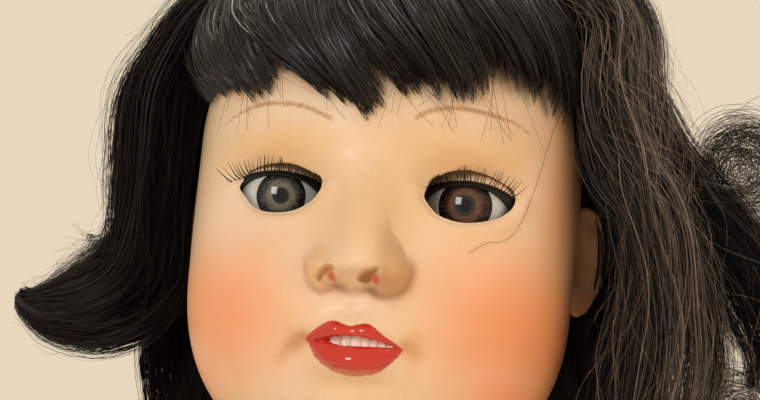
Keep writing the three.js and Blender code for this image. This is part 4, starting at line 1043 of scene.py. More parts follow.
@dataclass
class Face:
    """Outlines of the painted and cut features, (x, height) from the eye line's middle, in mm."""

    lips: Pairs = (
        (-12.4, -36.3), (-10.4, -34.5), (-8.2, -33.1), (-6.6, -32.2), (-5.1, -32.0), (-3.7, -32.2),
        (-2.0, -32.9), (-0.4, -33.0), (0.9, -32.6), (2.5, -32.3), (4.2, -32.6), (6.0, -33.9), (7.7, -35.1),
        (9.8, -36.3), (11.8, -37.6), (11.4, -38.5), (9.9, -40.5), (8.1, -42.2), (5.9, -43.7), (3.1, -44.5),
        (-0.5, -44.8), (-3.3, -44.4), (-5.7, -43.6), (-7.9, -42.3), (-9.8, -40.5), (-10.9, -38.5),
        (-11.7, -37.3))
    mouth: Pairs = (
        (-6.7, -36.5), (-6.1, -36.2), (-4.1, -35.7), (-2.0, -35.4), (0.8, -35.4), (3.6, -35.8), (6.4, -36.3),
        (8.4, -36.85), (9.9, -37.35), (9.0, -37.5), (7.1, -37.6), (4.3, -37.75), (0.9, -37.9), (-2.7, -37.9),
        (-4.8, -37.5), (-6.1, -36.9))
    parting: Pairs = ((-12.4, -36.4), (-9.5, -36.9), (-6.7, -36.6), (0.8, -36.6), (7.6, -37.2), (11.8, -37.8))
    eye_right: Pairs = (
        (-33.3, 1.5), (-31.9, 4.0), (-29.9, 6.1), (-26.6, 7.2), (-22.5, 7.6), (-19.1, 7.2), (-16.4, 6.3),
        (-13.8, 5.1), (-11.9, 3.9), (-11.2, 2.1), (-11.4, 0.7), (-12.8, -1.5), (-15.0, -3.3), (-18.1, -4.7),
        (-21.4, -5.2), (-24.4, -5.1), (-27.1, -4.5), (-29.4, -3.2), (-31.4, -1.0))
    eye_left: Pairs = (
        (14.1, 0.7), (14.6, 3.0), (15.7, 5.1), (18.0, 6.7), (20.0, 7.6), (22.4, 8.2), (24.7, 8.4),
        (27.1, 8.1), (28.9, 7.7), (30.7, 7.1), (32.9, 6.1), (34.7, 4.8), (35.7, 3.0), (35.7, 1.6),
        (35.2, 0.2), (34.2, -1.1), (32.3, -2.7), (29.7, -3.9), (26.8, -4.7), (23.9, -5.1), (20.9, -4.8),
        (18.1, -3.9), (16.6, -2.8), (15.1, -1.1))
    brow_right: Pairs = (
        (-39.7, 17.1), (-36.5, 19.4), (-32.9, 20.8), (-29.4, 21.8), (-25.9, 22.1), (-22.5, 22.0),
        (-19.1, 21.6), (-15.7, 20.7), (-12.4, 19.3), (-8.7, 17.7))
    brow_left: Pairs = (
        (38.7, 19.1), (35.4, 21.0), (32.5, 21.9), (28.0, 22.6), (23.6, 23.0), (19.7, 22.8), (16.2, 22.1),
        (13.3, 20.9), (10.4, 18.8))
    nostrils: Pairs = ((-6.1, -21.4), (4.7, -21.5))  # coral dots
    recesses: tuple[Pairs, Pairs] = (
        ((-9.6, -22.5), (-9.1, -21.2), (-8.2, -20.0), (-6.8, -19.1), (-5.4, -19.5), (-5.4, -20.2),
         (-6.6, -20.9), (-7.9, -21.7), (-8.9, -22.9)),
        ((0.4, -21.9), (1.4, -20.9), (2.8, -20.1), (4.2, -19.6), (5.6, -19.1), (5.3, -19.9), (4.5, -20.9),
         (3.4, -22.0), (2.2, -22.5), (1.1, -22.4)))
    nose: Pairs = (
        (-9.0, -7.0), (-10.8, -11.0), (-12.5, -14.3), (-13.3, -17.4), (-13.1, -20.0), (-12.4, -22.7),
        (-10.9, -24.5), (-8.9, -25.4), (-7.3, -24.7), (-6.0, -23.4), (-4.5, -23.6), (-1.9, -24.6),
        (0.6, -24.4), (2.7, -23.8), (4.8, -24.8), (7.7, -25.4), (10.4, -24.5), (12.1, -22.7),
        (13.0, -20.2), (12.9, -17.4), (11.5, -14.5), (9.6, -11.4), (7.7, -8.7), (5.5, -2.0), (-6.5, -2.0))
    creases: tuple[Pairs, ...] = (
        ((-12.9, -36.4), (-14.4, -37.2), (-16.3, -38.8), (-18.4, -41.2)),
        ((12.4, -37.4), (13.6, -37.6), (15.4, -39.2)))
    # The cheeks' blush is the doll's paint; the spots at the doll's left side and at the jaw also paint the
    # shade that falls there
    blush: Rows = (  # x, height, width, tallness and strength of each spot
        (-35.0, -30.0, 19.0, 17.0, 0.84), (39.0, -30.0, 21.0, 19.0, 0.98), (48.0, -2.0, 9.0, 26.0, 0.4),
        (38.0, -47.0, 15.0, 11.0, 0.86), (-42.0, -45.0, 11.0, 12.0, 0.62))
    columns: tuple[int, int] = (244, 84)  # columns of the face and of the rest
    rows: tuple[int, int, int, int] = (20, 214, 22, 10)  # rows of the crown, face, neck and ball
    socket: float = 13.85  # radius of the eye's seat
    wall: float = 6.0

    def outline(self, pairs: Pairs, count: int = 96) -> Array:
        """A closed outline as a smooth path."""
        return spline(np.array(pairs), count, True)

    def relief(self, p: Array) -> Array:
        """Fine modelling added along each ray: lips, eye rims, nostrils and folds.

        Args:
            p: Points of the plain face, in mm.

        Returns:
            The rise at each point, in mm.
        """
        places = p[:, [0, 2]]
        x, z = places.T
        lip, _ = edge_distance(places, self.outline(self.lips), True)
        seam, _ = edge_distance(places, spline(np.array(self.parting), 40), False)
        dome = np.sin(0.5 * math.pi * clamp01(-lip / 3.3))
        out = 1.75 * dome * (0.45 + 0.55 * ease(seam / 2.4)) - 0.25 * hump(lip / 0.5)
        out -= 0.9 * hump(seam / 0.55) * ease(-lip / 0.8)
        above = ease((z - 1.5) / 4)
        back = above * (2.4 + 0.3 * ease((EYE_X - np.abs(x)) / 9))
        for pairs in (self.eye_right, self.eye_left):
            rim, _ = edge_distance(places, self.outline(pairs), True)
            outside = np.maximum(rim, 0)
            slope = -0.85 * hump(outside / 0.75) - back * hump(outside / 3.4)
            out += np.where(rim > -1, slope + 0.35 * hump((rim - 2.6) / 1.6) * (1 - above), -0.85 - back)
        edge, _ = edge_distance(places, self.outline(self.nose, 160), True)
        wing = 1.5 * ease(-edge / 2.2) * (1 - ease((-edge - 2.6) / 4))
        out += ease((-z - 9) / 9) * (wing - 0.65 * hump(edge / 0.9))
        for pairs in self.recesses:
            off, _ = edge_distance(places, self.outline(pairs, 48), True)
            out -= 2.3 * ease((0.7 - off) / 1.7)
        for at, level in self.nostrils:
            out -= 0.9 * hump(np.hypot(x - at, z - level) / 1.4)
        for depth, pairs in zip((1.0, 0.7), self.creases):
            off, share = edge_distance(places, spline(np.array(pairs), 30), False)
            out -= depth * hump(off / 1.5) * (1 - 0.7 * share)
        out -= 0.45 * spot(x + 0.4, z + 29.5, 1.7, 2.6)
        return out * ease((-p[:, 1] - 16) / 14)

    def grid(self) -> Array:
        """Points of the head by row and column, closest together over the face.

        Returns:
            Points in head coordinates.
        """
        wide = 1.06
        dense, rest = self.columns
        turns = np.concatenate([
            np.linspace(-wide, wide, dense, endpoint=False),
            np.linspace(wide, 2 * math.pi - wide, rest, endpoint=False)])
        crown, face, neck, ball = self.rows
        low, high = 0.72, 2.46
        ring_drop = FORM.neck_drop - math.sqrt(FORM.ball_radius**2 - FORM.neck_radius**2) - 2
        last = math.pi - math.atan2(FORM.neck_radius, ring_drop - FORM.ray_drop)
        tilts = np.concatenate([
            np.linspace(low / crown, low, crown, endpoint=False),
            np.linspace(low, high, face, endpoint=False), np.linspace(high, last, neck)])
        tilt, turn = np.meshgrid(tilts, turns, indexing="ij")
        base = FORM.surface(tilt, turn, 0.0, FORM.scalp)
        flat = base.reshape(-1, 3)
        way = FORM.direction(tilt, turn).reshape(-1, 3)
        shaped = (flat + way * self.relief(flat)[:, None]).reshape(base.shape)
        first = math.asin(FORM.neck_radius / FORM.ball_radius)
        angles = (first + (math.pi - first) * np.arange(ball) / ball)[:, None]
        r = FORM.ball_radius * np.sin(angles)
        z = np.broadcast_to(FORM.ball_radius * np.cos(angles) - FORM.neck_drop, (ball, len(turns)))
        foot = np.stack([r * np.sin(turns), FORM.neck_axis - r * np.cos(turns), z], -1)
        return np.concatenate([shaped, foot])

    @staticmethod
    def ball(centre: Vec3, radius: float) -> Solid:
        """Points and faces of a ball to cut away.

        Args:
            centre: Its middle, in mm.
            radius: Its radius.

        Returns:
            Points and triangles.
        """
        tilt, turn = np.meshgrid(np.linspace(0.06, math.pi - 0.06, 40), circle(64), indexing="ij")
        pole = np.array([0.0, 0.0, radius])
        return closed_grid(FORM.direction(tilt, turn) * radius + centre, centre + pole, centre - pole)

    @staticmethod
    def prism(rows: Sequence[Array]) -> Solid:
        """Points and faces of a straight solid between two outlines."""
        return closed_grid(np.array(rows), rows[0].mean(0), rows[1].mean(0))

    def rod(self, radius: float, top: float, foot: float) -> Solid:
        """Points and faces of an upright rod on the neck's axis to cut away.

        Args:
            radius: Its radius, in mm.
            top: Height of its upper end.
            foot: Height of its lower end.

        Returns:
            Points and triangles.
        """
        turns = circle(48)
        ring = np.stack([radius * np.sin(turns), FORM.neck_axis - radius * np.cos(turns)], -1)
        return self.prism([np.insert(ring, 2, z, 1) for z in (top, foot)])

    def tools(self) -> list[Piece]:
        """Solids to cut away: the cavity, eye seats, eye openings, mouth, neck hole and open crown.

        Returns:
            The solids.
        """
        tilt, turn = np.meshgrid(np.linspace(0.1, 2.62, 30), circle(48), indexing="ij")
        inner = FORM.surface(tilt, turn, -self.wall, FORM.plain)
        made = [closed_grid(inner, inner[0].mean(0), inner[-1].mean(0) - [0, 0, 18.0])]
        made += [self.ball((x, EYE_Y, 0.0), self.socket) for x in (EYE_X, -EYE_X)]
        for pairs, back in ((self.eye_right, EYE_Y), (self.eye_left, EYE_Y), (self.mouth, -40.0)):
            path = self.outline(pairs)
            made.append(self.prism([np.insert(path, 1, y, 1) for y in (-90.0, back)]))
        made += [self.rod(8.0, -66.0, -140.0), self.rod(16.0, -48.0, -80.0)]
        made.append(self.ball((0.0, FORM.neck_axis, -FORM.neck_drop), 18.0))
        lean = Matrix.Rotation(-0.22, 3, "X")
        corners = [(-150, -150), (150, -150), (150, 150), (-150, 150)]
        rows = [np.array([np.array(lean @ Vector((*at, z))) + [0, 0, 42.0] for at in corners])
                for z in (150.0, 0.0)]
        made.append(self.prism(rows))
        return [closed_piece("tool", to_world(points), faces) for points, faces in made]

    def build(self, finish: Material) -> None:
        """Makes the painted head and puts it in the place of its plain solid.

        Args:
            finish: Finish of the head.
        """
        top = FORM.surface(np.array([1e-4]), np.array([0.0]))[0]
        foot = np.array([0.0, FORM.neck_axis, -FORM.neck_drop - FORM.ball_radius])
        points, faces = closed_grid(self.grid(), top, foot)
        head = closed_piece("head_bisque", to_world(points), faces)
        carve(head, self.tools())
        head.data.set_sharp_from_angle(angle=math.radians(50))
        self.paint(head)
        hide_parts("head_shell")
        dress(head, finish, "head")

    def paint(self, head: Piece) -> None:
        """Marks lips, blush, brows and nostrils on the head, and paints shade into its hollows, creases,
        sides and eye openings.

        Args:
            head: The head to mark.
        """
        p = mesh_points(head) / MM - HEAD_ORIGIN
        places = p[:, [0, 2]]
        front = p[:, 1] < -14
        lip, _ = edge_distance(places, self.outline(self.lips), True)
        edge, _ = edge_distance(places, self.outline(self.nose, 160), True)
        # Painted shade down the face's sides, deeper on the doll's left, away from the light
        side = ease((np.abs(p[:, 0]) - 38) / 10) * ease((40 - p[:, 2]) / 20)
        side = side * np.where(p[:, 0] < 0, 0.35, 0.8)
        brow, run = self.brows(places)
        paint(head, "lip", np.clip(lip + np.where(front, 0.0, 9.0), -9, 9))
        paint(head, "blush", self.rosy(places) * ease((-p[:, 1] + 14) / 20))
        paint(head, "brow", np.where(front, brow, 0.0))
        paint(head, "brow_place", run)
        paint(head, "coral", np.where(front, self.dots(places), 0.0))
        paint(head, "hollow", np.maximum(np.where(front, self.hollows(places, edge), 0.0), side))
        paint(head, "fold", np.where(front, self.folds(places, edge), 0.0))
        paint(head, "rim", np.where(front, self.rims(p), 0.0))

    def rosy(self, places: Array) -> Array:
        """Strength of the painted blush.

        Args:
            places: Places seen from the front, in mm.

        Returns:
            The strength at each place.
        """
        x, z = places.T
        total = 0.05 * hump(x / 14) * hump((z + 58) / 9)
        for at, level, wide, tall, share in self.blush:
            off = np.abs((x - at) / wide) ** 2.2 + np.abs((z - level) / tall) ** 2.2
            total = np.maximum(total, share * np.exp(-off))
        return total

    def brows(self, places: Array) -> tuple[Array, Array]:
        """Stroked brows.

        Args:
            places: Places seen from the front, in mm.

        Returns:
            Strength of the paint, and places along and across the strokes.
        """
        z = places[:, 1]
        brow, run = np.zeros(len(z)), np.zeros((len(z), 3))
        for pairs in (self.brow_right, self.brow_left):
            off, share = edge_distance(places, spline(np.array(pairs), 60), False)
            half = 0.16 + 0.34 * ease(share / 0.45)
            here = ease((half + 0.26 - off) / 0.46) * ease(share / 0.06) * ease((1 - share) / 0.05)
            brow = np.maximum(brow, here)
            near = off < 3
            run[near, 0] = (share * 31 - 0.6 * z)[near]
            run[near, 1] = (z + share * 4)[near]
        return brow, run

    def dots(self, places: Array) -> Array:
        """Strength of the coral dots in the nostrils."""
        off = [np.hypot(places[:, 0] - x, places[:, 1] - z) for x, z in self.nostrils]
        return 0.95 * ease((1.25 - np.minimum(*off)) / 0.5)

    def hollows(self, places: Array, edge: Array) -> Array:
        """Painted warm shade over the eyes, at the nose's root and wings and at the mouth's corners.

        Args:
            places: Places seen from the front, in mm.
            edge: Their distance from the nose's outline.

        Returns:
            The strength at each place.
        """
        x, z = places.T
        total = 0.8 * hump(x / 17) * hump((z + 6) / 12)
        for at in (-EYE_X, EYE_X):
            total = np.maximum(total, spot(x - at, z - 11, 14, 6.5))
        for at in (-14.5, 13.5):
            total = np.maximum(total, 0.9 * spot(x - at, z + 37.5, 2.6, 3.2))
        return np.maximum(total, 0.9 * ease(-edge / 2.5) * ease((-z - 8) / 8) * ease((np.abs(x) - 4) / 4))

    def folds(self, places: Array, edge: Array) -> Array:
        """Painted deep shade round the nose and over its side on the doll's left, away from the light, in the
        nostrils and in the mouth's creases.

        Args:
            places: Places seen from the front, in mm.
            edge: Their distance from the nose's outline.

        Returns:
            The strength at each place.
        """
        x, z = places.T
        left = ease(x / 6)
        total = (0.42 + 0.3 * left) * ease((-z - 13) / 6) * hump(edge / (0.8 + 0.5 * left))
        shade = ease((x - 3.2) / 4.5) * ease((-edge + 0.4) / 1.2) * ease((-z - 3) / 9)
        total = np.maximum(total, 0.46 * shade)
        for share, pairs in zip((0.72, 1.0), self.recesses):
            off, _ = edge_distance(places, self.outline(pairs, 48), True)
            total = np.maximum(total, share * ease((0.5 - off) / 0.9))
        for share, pairs in zip((0.55, 0.4), self.creases):
            off, run = edge_distance(places, spline(np.array(pairs), 30), False)
            total = np.maximum(total, share * hump(off / 1.7) * (1 - 0.6 * run))
        return total

    def rims(self, p: Array) -> Array:
        """Paints shade as a black edge inside the eye openings.

        Args:
            p: Points of the head, in mm.

        Returns:
            1 on the edge and 0 elsewhere.
        """
        x, y, z = p.T
        total = np.zeros(len(p))
        face = FORM.front(x, z)
        for pairs in (self.eye_right, self.eye_left):
            path = self.outline(pairs)
            off, _ = edge_distance(p[:, [0, 2]], path, True)
            wide = ease((np.abs(x - np.mean(path[:, 0])) - 6.5) / 3)
            total = np.where((off < 0.1) & (y > face + 3.4 - 1.4 * wide) & (z > -2.0), 1.0, total)
        return total


@dataclass
class Ear:
    """Moulded ear with a rolled rim and a hollow, set on the side of the head, in mm."""

    outline: Pairs = (  # back and up
        (-3.4, 0.0), (-3.6, 6.0), (-2.6, 11.0), (1.2, 14.2), (5.6, 13.4), (9.6, 9.6), (11.0, 3.6),
        (9.8, -3.0), (6.8, -8.6), (3.8, -13.0), (0.6, -14.6), (-1.8, -12.6), (-2.8, -7.5), (-3.2, -3.5))
    rows: Pairs = (  # share of the outline and rise, from the back round
        (0.30, -3.6), (0.72, -2.6), (0.95, -0.9), (1.0, 0.3), (0.98, 1.2), (0.91, 1.7), (0.83, 1.2),
        (0.75, 0.0), (0.62, 0.5), (0.48, 0.0), (0.34, -1.7), (0.15, -2.3))
    middle: Pair = (2.2, 0.8)
    place: Vec3 = (49.0, 8.0, -7.0)
    lean: float = 0.82  # from the side of the head

    def build(self, finish: Material) -> None:
        """Makes both ears.

        Args:
            finish: Finish of the ears.
        """
        path = spline(np.array(self.outline), 84, True)
        share, rise = np.array(self.rows).T[:, :, None]
        flat = np.array(self.middle) + share[..., None] * (path[None] - self.middle)
        lobe = ease((-6.0 - flat[..., 1]) / 4)
        front = np.arange(len(self.rows))[:, None] > 4
        rise = np.where(front, rise * (1 - lobe) + 1.5 * lobe, rise)
        deep = np.where(front, ease((1.2 - rise) / 2.5), 0.4)
        for side in Side:
            back = np.array([side.value * math.sin(self.lean), math.cos(self.lean), 0.0])
            out = np.array([side.value * math.cos(self.lean), -math.sin(self.lean), 0.0])
            points = np.array(self.place) * [side.value, 1, 1] + flat[..., :1] * back + rise[..., None] * out
            points = points + flat[..., 1:] * np.array([0.0, 0.0, 1.0])
            verts, faces = closed_grid(points, points[0].mean(0), points[-1].mean(0))
            ear = closed_piece(f"ear_{side.word}", to_world(verts), faces)
            paint(ear, "lip", np.full(len(verts), 9.0))
            # Painted shade over the whole ear and deeper in its hollow
            paint(ear, "fold", np.full(len(verts), 0.3))
            paint(ear, "hollow", np.concatenate([deep.ravel(), [0.4, 1.0]]))
            paint(ear, "blush", np.concatenate([0.55 * lobe.ravel() + 0.2, [0.2, 0.2]]))
            dress(ear, finish, "head")


# Eyes


@dataclass
class Eyes:
    """Weighted sleep eyes: glass, painted lids, lash strips and lashes."""

    radius: float = 12.6
    lid_inner: float = 12.9
    lid_radius: float = 13.55
    lid_angle: float = 0.46  # lower edge above straight ahead, radians
    lid_sweep: float = 1.75
    swing: float = 1.33  # half the width of lid and strip, radians
    band: float = 0.08  # height of the lash strip, radians
    strip: Pair = (12.75, 13.7)  # inner and outer radius of the lash strip
    strip_dip: float = 0.85
    gaze: dict[Side, Pair] = field(default_factory=lambda: {
        Side.LEFT: (0.022, 0.012), Side.RIGHT: (0.075, 0.02)})
    lash_count: int = 34
    lash_tufts: int = 8
    lash_radius: float = 0.21
    lash_sink: float = 0.7  # how far under the roots the lashes fold

    def centre(self, side: Side) -> Array:
        """Middle of one eye in head coordinates."""
        return np.array([side.value * EYE_X, EYE_Y, 0.0])

    def ball(self, side: Side, finish: Material) -> None:
        """One glass eye, its rings centred on the gaze.

        Args:
            side: Which eye.
            finish: Finish of the glass.
        """
        rings = np.concatenate([np.linspace(0.004, 0.62, 60), np.linspace(0.66, math.pi - 0.02, 30)])
        theta, phi = np.meshgrid(rings, circle(96), indexing="ij")
        local = np.stack([np.sin(theta) * np.cos(phi), -np.cos(theta), np.sin(theta) * np.sin(phi)], -1)
        yaw, pitch = self.gaze[side]
        turn = np.array(Matrix.Rotation(yaw, 3, "Z") @ Matrix.Rotation(pitch, 3, "X"))
        points = (local @ turn.T) * self.radius + self.centre(side)
        verts, faces = closed_grid(points, points[0].mean(0), points[-1].mean(0))
        piece = closed_piece(f"glass_eye_{side.word}", to_world(verts), faces)
        arc = theta * self.radius
        iris = np.stack([arc * np.cos(phi), arc * np.sin(phi), arc], -1).reshape(-1, 3)
        paint(piece, "iris", np.concatenate([iris, [[0.01, 0, 0]], [[0, 39.0, 39.0]]]))
        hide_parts(f"eyeball_{side.word}")
        dress(piece, finish, "eyes")

    def shell(self, name: str, side: Side, lifts: Pair, radii: Pair, dip: float = 0.0) -> Piece:
        """A strip of the ball's cover between two angles above straight ahead.

        Args:
            name: Name of the piece.
            side: Which eye.
            lifts: Lower and upper angle.
            radii: Inner and outer radius, in mm.
            dip: How far the lower edge drops towards the corners.

        Returns:
            The strip.
        """
        (low, high), (inner, outer) = lifts, radii
        lift, swing = np.linspace(low, high, 26), np.linspace(-self.swing, self.swing, 64)
        lift, swing = np.meshgrid(lift, swing, indexing="ij")
        lift = lift - dip * (np.abs(swing) / self.swing) ** 3 * (high - lift) / (high - low)
        way = np.stack([np.sin(swing), -np.cos(swing) * np.cos(lift), np.cos(swing) * np.sin(lift)], -1)
        points = np.concatenate([way * outer, way[::-1] * inner]) + self.centre(side)
        return closed_piece(name, to_world(points.reshape(-1, 3)), loop_faces(*points.shape[:2], False))

    def lashes(self, side: Side, finish: Material, rng: Draws) -> None:
        """Curved tapering lashes along the strip, in tufts.

        Args:
            side: Which eye.
            finish: Finish of the lashes.
            rng: Source of each lash's own bend.
        """
        n = self.lash_count
        share = np.linspace(-0.95, 0.95, n) + rng.normal(0, 0.010, n)
        outer = share * side.value
        swing = np.arcsin(share * 0.86)
        lift = self.lid_angle - self.band * 0.5
        way = np.stack([np.sin(swing), -np.cos(swing) * math.cos(lift), np.cos(swing) * math.sin(lift)], -1)
        root = way * (self.lid_radius + 0.1) + self.centre(side)
        reach = 0.55 + 0.20 * ease((outer + 0.1) / 0.9) + rng.normal(0, 0.10, n)
        clump = np.round(np.arange(n) / 2.6 + rng.normal(0, 0.2, n))
        lean = 0.9 * rng.normal(0, 1, 40)[clump.astype(int)] + 0.55 * (clump * 2.6 - np.arange(n)) * 0.62
        flare = share * (1.2 + 3.6 * np.abs(share) ** 2.2) + 0.5 * lean
        middle = root + np.stack([flare * 0.2, np.full(n, -3.4), -0.4 - 0.6 * np.abs(share)], -1)
        across = flare * 1.15 + rng.normal(0, 0.25, n)
        tip = root + np.stack([across, -4.0 - 0.5 * reach, 5.6 * reach * (1 - 0.4 * np.abs(share) ** 2)], -1)
        t = np.linspace(0, 1, 10)[None, :, None]
        paths = (1 - t) ** 2 * root[:, None] + 2 * t * (1 - t) * middle[:, None] + t**2 * tip[:, None]
        widths = taper(10, self.lash_radius, 0.8, 1.7) * rng.uniform(0.8, 1.25, (n, 1))
        for k, part in enumerate(np.array_split(np.arange(n), self.lash_tufts)):
            tuft = strands(f"lashes_{side.word}_{k + 1}", paths[part], widths[part], Strand.FIBRE, rng, 0.0)
            dress(tuft, finish, "eyes")
            way = unit((paths[part, -1] - paths[part, 0]).mean(0))
            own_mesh(tuft)

    def build(self, finishes: dict[Side, Material], lid: Material, lash: Material) -> None:
        """Makes both eyes.

        Args:
            finishes: Finish of each eye's glass.
            lid: Finish of the lids.
            lash: Finish of the strips and lashes.
        """
        rng = np.random.default_rng(11)
        low = self.lid_angle
        for side in Side:
            word = side.word
            self.ball(side, finishes[side])
            lifts, radii = (low, low + self.lid_sweep), (self.lid_inner, self.lid_radius)
            top = self.shell(f"lid_{word}", side, lifts, radii)
            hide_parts(f"eyelid_{word}")
            dress(top, lid, "eyes")
            lifts = (low - self.band, low - 0.002)
            strip = self.shell(f"lash_strip_{word}", side, lifts, self.strip, self.strip_dip)
            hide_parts(f"lash_band_{word}")
            dress(strip, lash, "eyes")
            self.lashes(side, lash, rng)


# Hair


def taper(steps: int, width: float, loss: float, power: float = 1.0) -> Array:
    """Half widths along a hair that loses a share of its width towards the tip."""
    return width * (1 - loss * np.linspace(0, 1, steps)[None] ** power)


def strands(name: str, paths: Array, widths: Array, cut: Strand, rng: Draws,
            brown: Union[float, Array]) -> Piece:
    """Turns paths into one mesh of hairs.

    Args:
        name: Name of the piece.
        paths: Points by hair and step, in head coordinates.
        widths: Half width at each step, in mm.
        cut: Ribbon or fibre.
        rng: Source of each hair's own turn and tone.
        brown: Chance that a hair is brown, one for all or one for each.

    Returns:
        The mesh, each hair marked with its tone.
    """
    count, steps = paths.shape[:2]
    along = unit(np.gradient(paths, axis=1))
    side = unit(np.cross(along, paths - np.array([0.0, 4.0, -5.0])))
    lift = np.cross(side, along)
    wide = widths[..., None]
    sides = cut.value
    if cut is Strand.RIBBON:
        lean = rng.normal(0, 0.34, (count, 1, 1))
        across = side * np.cos(lean) + lift * np.sin(lean)
        ring = np.stack([paths - across * wide, paths + across * wide], 2)
    else:
        ring = np.stack([paths + wide * (side * math.cos(a) + lift * math.sin(a)) for a in circle(sides)], 2)
    i = np.arange(steps - 1)[None, :, None]
    j = np.arange(sides if cut is Strand.FIBRE else 1)[None, None, :]
    k = (j + 1) % sides
    here = (np.arange(count) * steps * sides)[:, None, None] + i * sides
    faces = np.stack([here + j, here + k, here + sides + k, here + sides + j], -1)
    piece = mesh_object(name, to_world(ring.reshape(-1, 3)), faces.reshape(-1, 4))
    tone = np.where(rng.random(count) < brown, rng.uniform(0.5, 1.0, count), rng.uniform(0.0, 0.42, count))
    paint(piece, "tone", np.repeat(tone, steps * sides))
    return piece


def hairline(turn: Array) -> Array:
    """How far the hair reaches down from the crown at each turn, in radians."""
    return 1.17 - 0.73 * np.cos(turn) + 0.16 * np.cos(2 * turn)


def off_head(paths: Array, clear: float) -> Array:
    """Keeps points at least a given distance outside the head.

    Args:
        paths: Points in head coordinates.
        clear: Smallest distance in mm.

    Returns:
        The points, pushed straight out where they were too close.
    """
    way = unit(paths - FORM.origin)
    for _ in range(2):
        paths = paths + way * np.maximum(clear - FORM.whole(paths), 0)[..., None]
    return paths


@dataclass
class Lock:
    """A lock of the wig: (x, y, height, half thickness, half width) from the root down, in mm."""

    name: str
    node: str
    stations: tuple[tuple[float, float, float, float, float], ...]
    count: int
    steps: int
    wave: float
    brown: float
    core: float = 0.74

    def frames(self, count: int) -> tuple[Array, Array, Array, Array]:
        """The lock's frame, evenly along it.

        Args:
            count: Number of places along the lock.

        Returns:
            Middle line, its thick and wide directions, and its half sizes.
        """
        line = spline(np.array([s[:3] for s in self.stations]), count)
        size = spline(np.array([s[3:] for s in self.stations]), count)
        along = unit(np.gradient(line, axis=0))
        wide = unit(np.array([0.0, 1.0, 0.0]) - along * along[:, 1:2])
        return line, np.cross(along, wide), wide, size

    def paths(self, rng: Draws) -> Array:
        """Hairs that fill the lock, gathered in wavering tufts.

        Args:
            rng: Source of each hair's own place.

        Returns:
            Points by hair and step, in head coordinates.
        """
        fine, tufts, n = 80, 70, self.count
        line, thick, wide, size = self.frames(fine)
        angle = rng.uniform(0, 2 * math.pi, tufts)
        reach = rng.uniform(0.25, 1.0, tufts) ** 0.6
        tuft = rng.integers(0, tufts, n)
        a = np.cos(angle[tuft]) * reach[tuft] + rng.normal(0, 0.10, n)
        b = np.sin(angle[tuft]) * reach[tuft] + rng.normal(0, 0.10, n)
        start = rng.uniform(0.0, 0.24, n)
        end = 1.0 - 0.22 * rng.random(n) ** 2.2
        t = start[:, None] + (end - start)[:, None] * np.linspace(0, 1, self.steps)[None]
        pick = t * (fine - 1)
        i = np.minimum(pick.astype(int), fine - 2)
        f = (pick - i)[..., None]

        def at(values: Array) -> Array:
            """Values between the lock's places."""
            return values[i] * (1 - f) + values[i + 1] * f

        phase = rng.uniform(0, 2 * math.pi, tufts)[tuft][:, None]
        ripple = self.wave * np.sin(t * 9.0 + 0.7 * np.sin(phase)) + 0.5 * self.wave * np.sin(t * 21 + phase)
        fray = 1 + 0.22 * (t - 0.5) * rng.normal(0, 1, n)[:, None]
        sizes = at(size)
        deep = sizes[..., :1] * (a[:, None] * fray)[..., None] + ripple[..., None] * ease(t * 3)[..., None]
        paths = at(line) + at(thick) * deep
        return off_head(paths + at(wide) * sizes[..., 1:] * (b[:, None] * fray)[..., None], 1.2)

    def build(self, rng: Draws, hair: Material, core: Material, width: float) -> None:
        """Makes the lock's hairs and its dark middle.

        Args:
            rng: Source of each hair's own place and tone.
            hair: Finish of the hairs.
            core: Finish of the middle.
            width: Half width of a hair, in mm.
        """
        paths = self.paths(rng)
        widths = taper(self.steps, width, 0.55, 2) * rng.uniform(0.7, 1.3, (self.count, 1))
        # More brown strands towards the front paint the light that falls on the lock's front
        front_light = ease((-paths[..., 1].mean(1) - 4) / 14)
        piece = strands(self.name, paths, widths, Strand.RIBBON, rng, self.brown * (0.2 + 0.8 * front_light))
        if self.node:
            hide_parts(self.node)
        dress(piece, hair, "head")
        line, thick, wide, size = (part[3:29, None] for part in self.frames(36))
        turns = circle(28)[None, :, None]
        swell = self.core * np.sin(np.linspace(0.5, math.pi - 0.15, len(line)))[:, None, None] ** 0.5
        ring = size[..., :1] * thick * np.cos(turns) + size[..., 1:] * wide * np.sin(turns)
        grid = off_head(line + swell * ring, 0.9)
        points, faces = closed_grid(grid, grid[0].mean(0), grid[-1].mean(0))
        dress(closed_piece(f"{self.name}_core", to_world(points), faces), core, "head")


@dataclass(frozen=True)
class Swoop:
    """One sweep of the fringe."""

    roots: Pair  # turns of its first and last root
    ends: Pairs  # turn and tilt of its tips
    share: float  # of the fringe's hairs
    bend: float


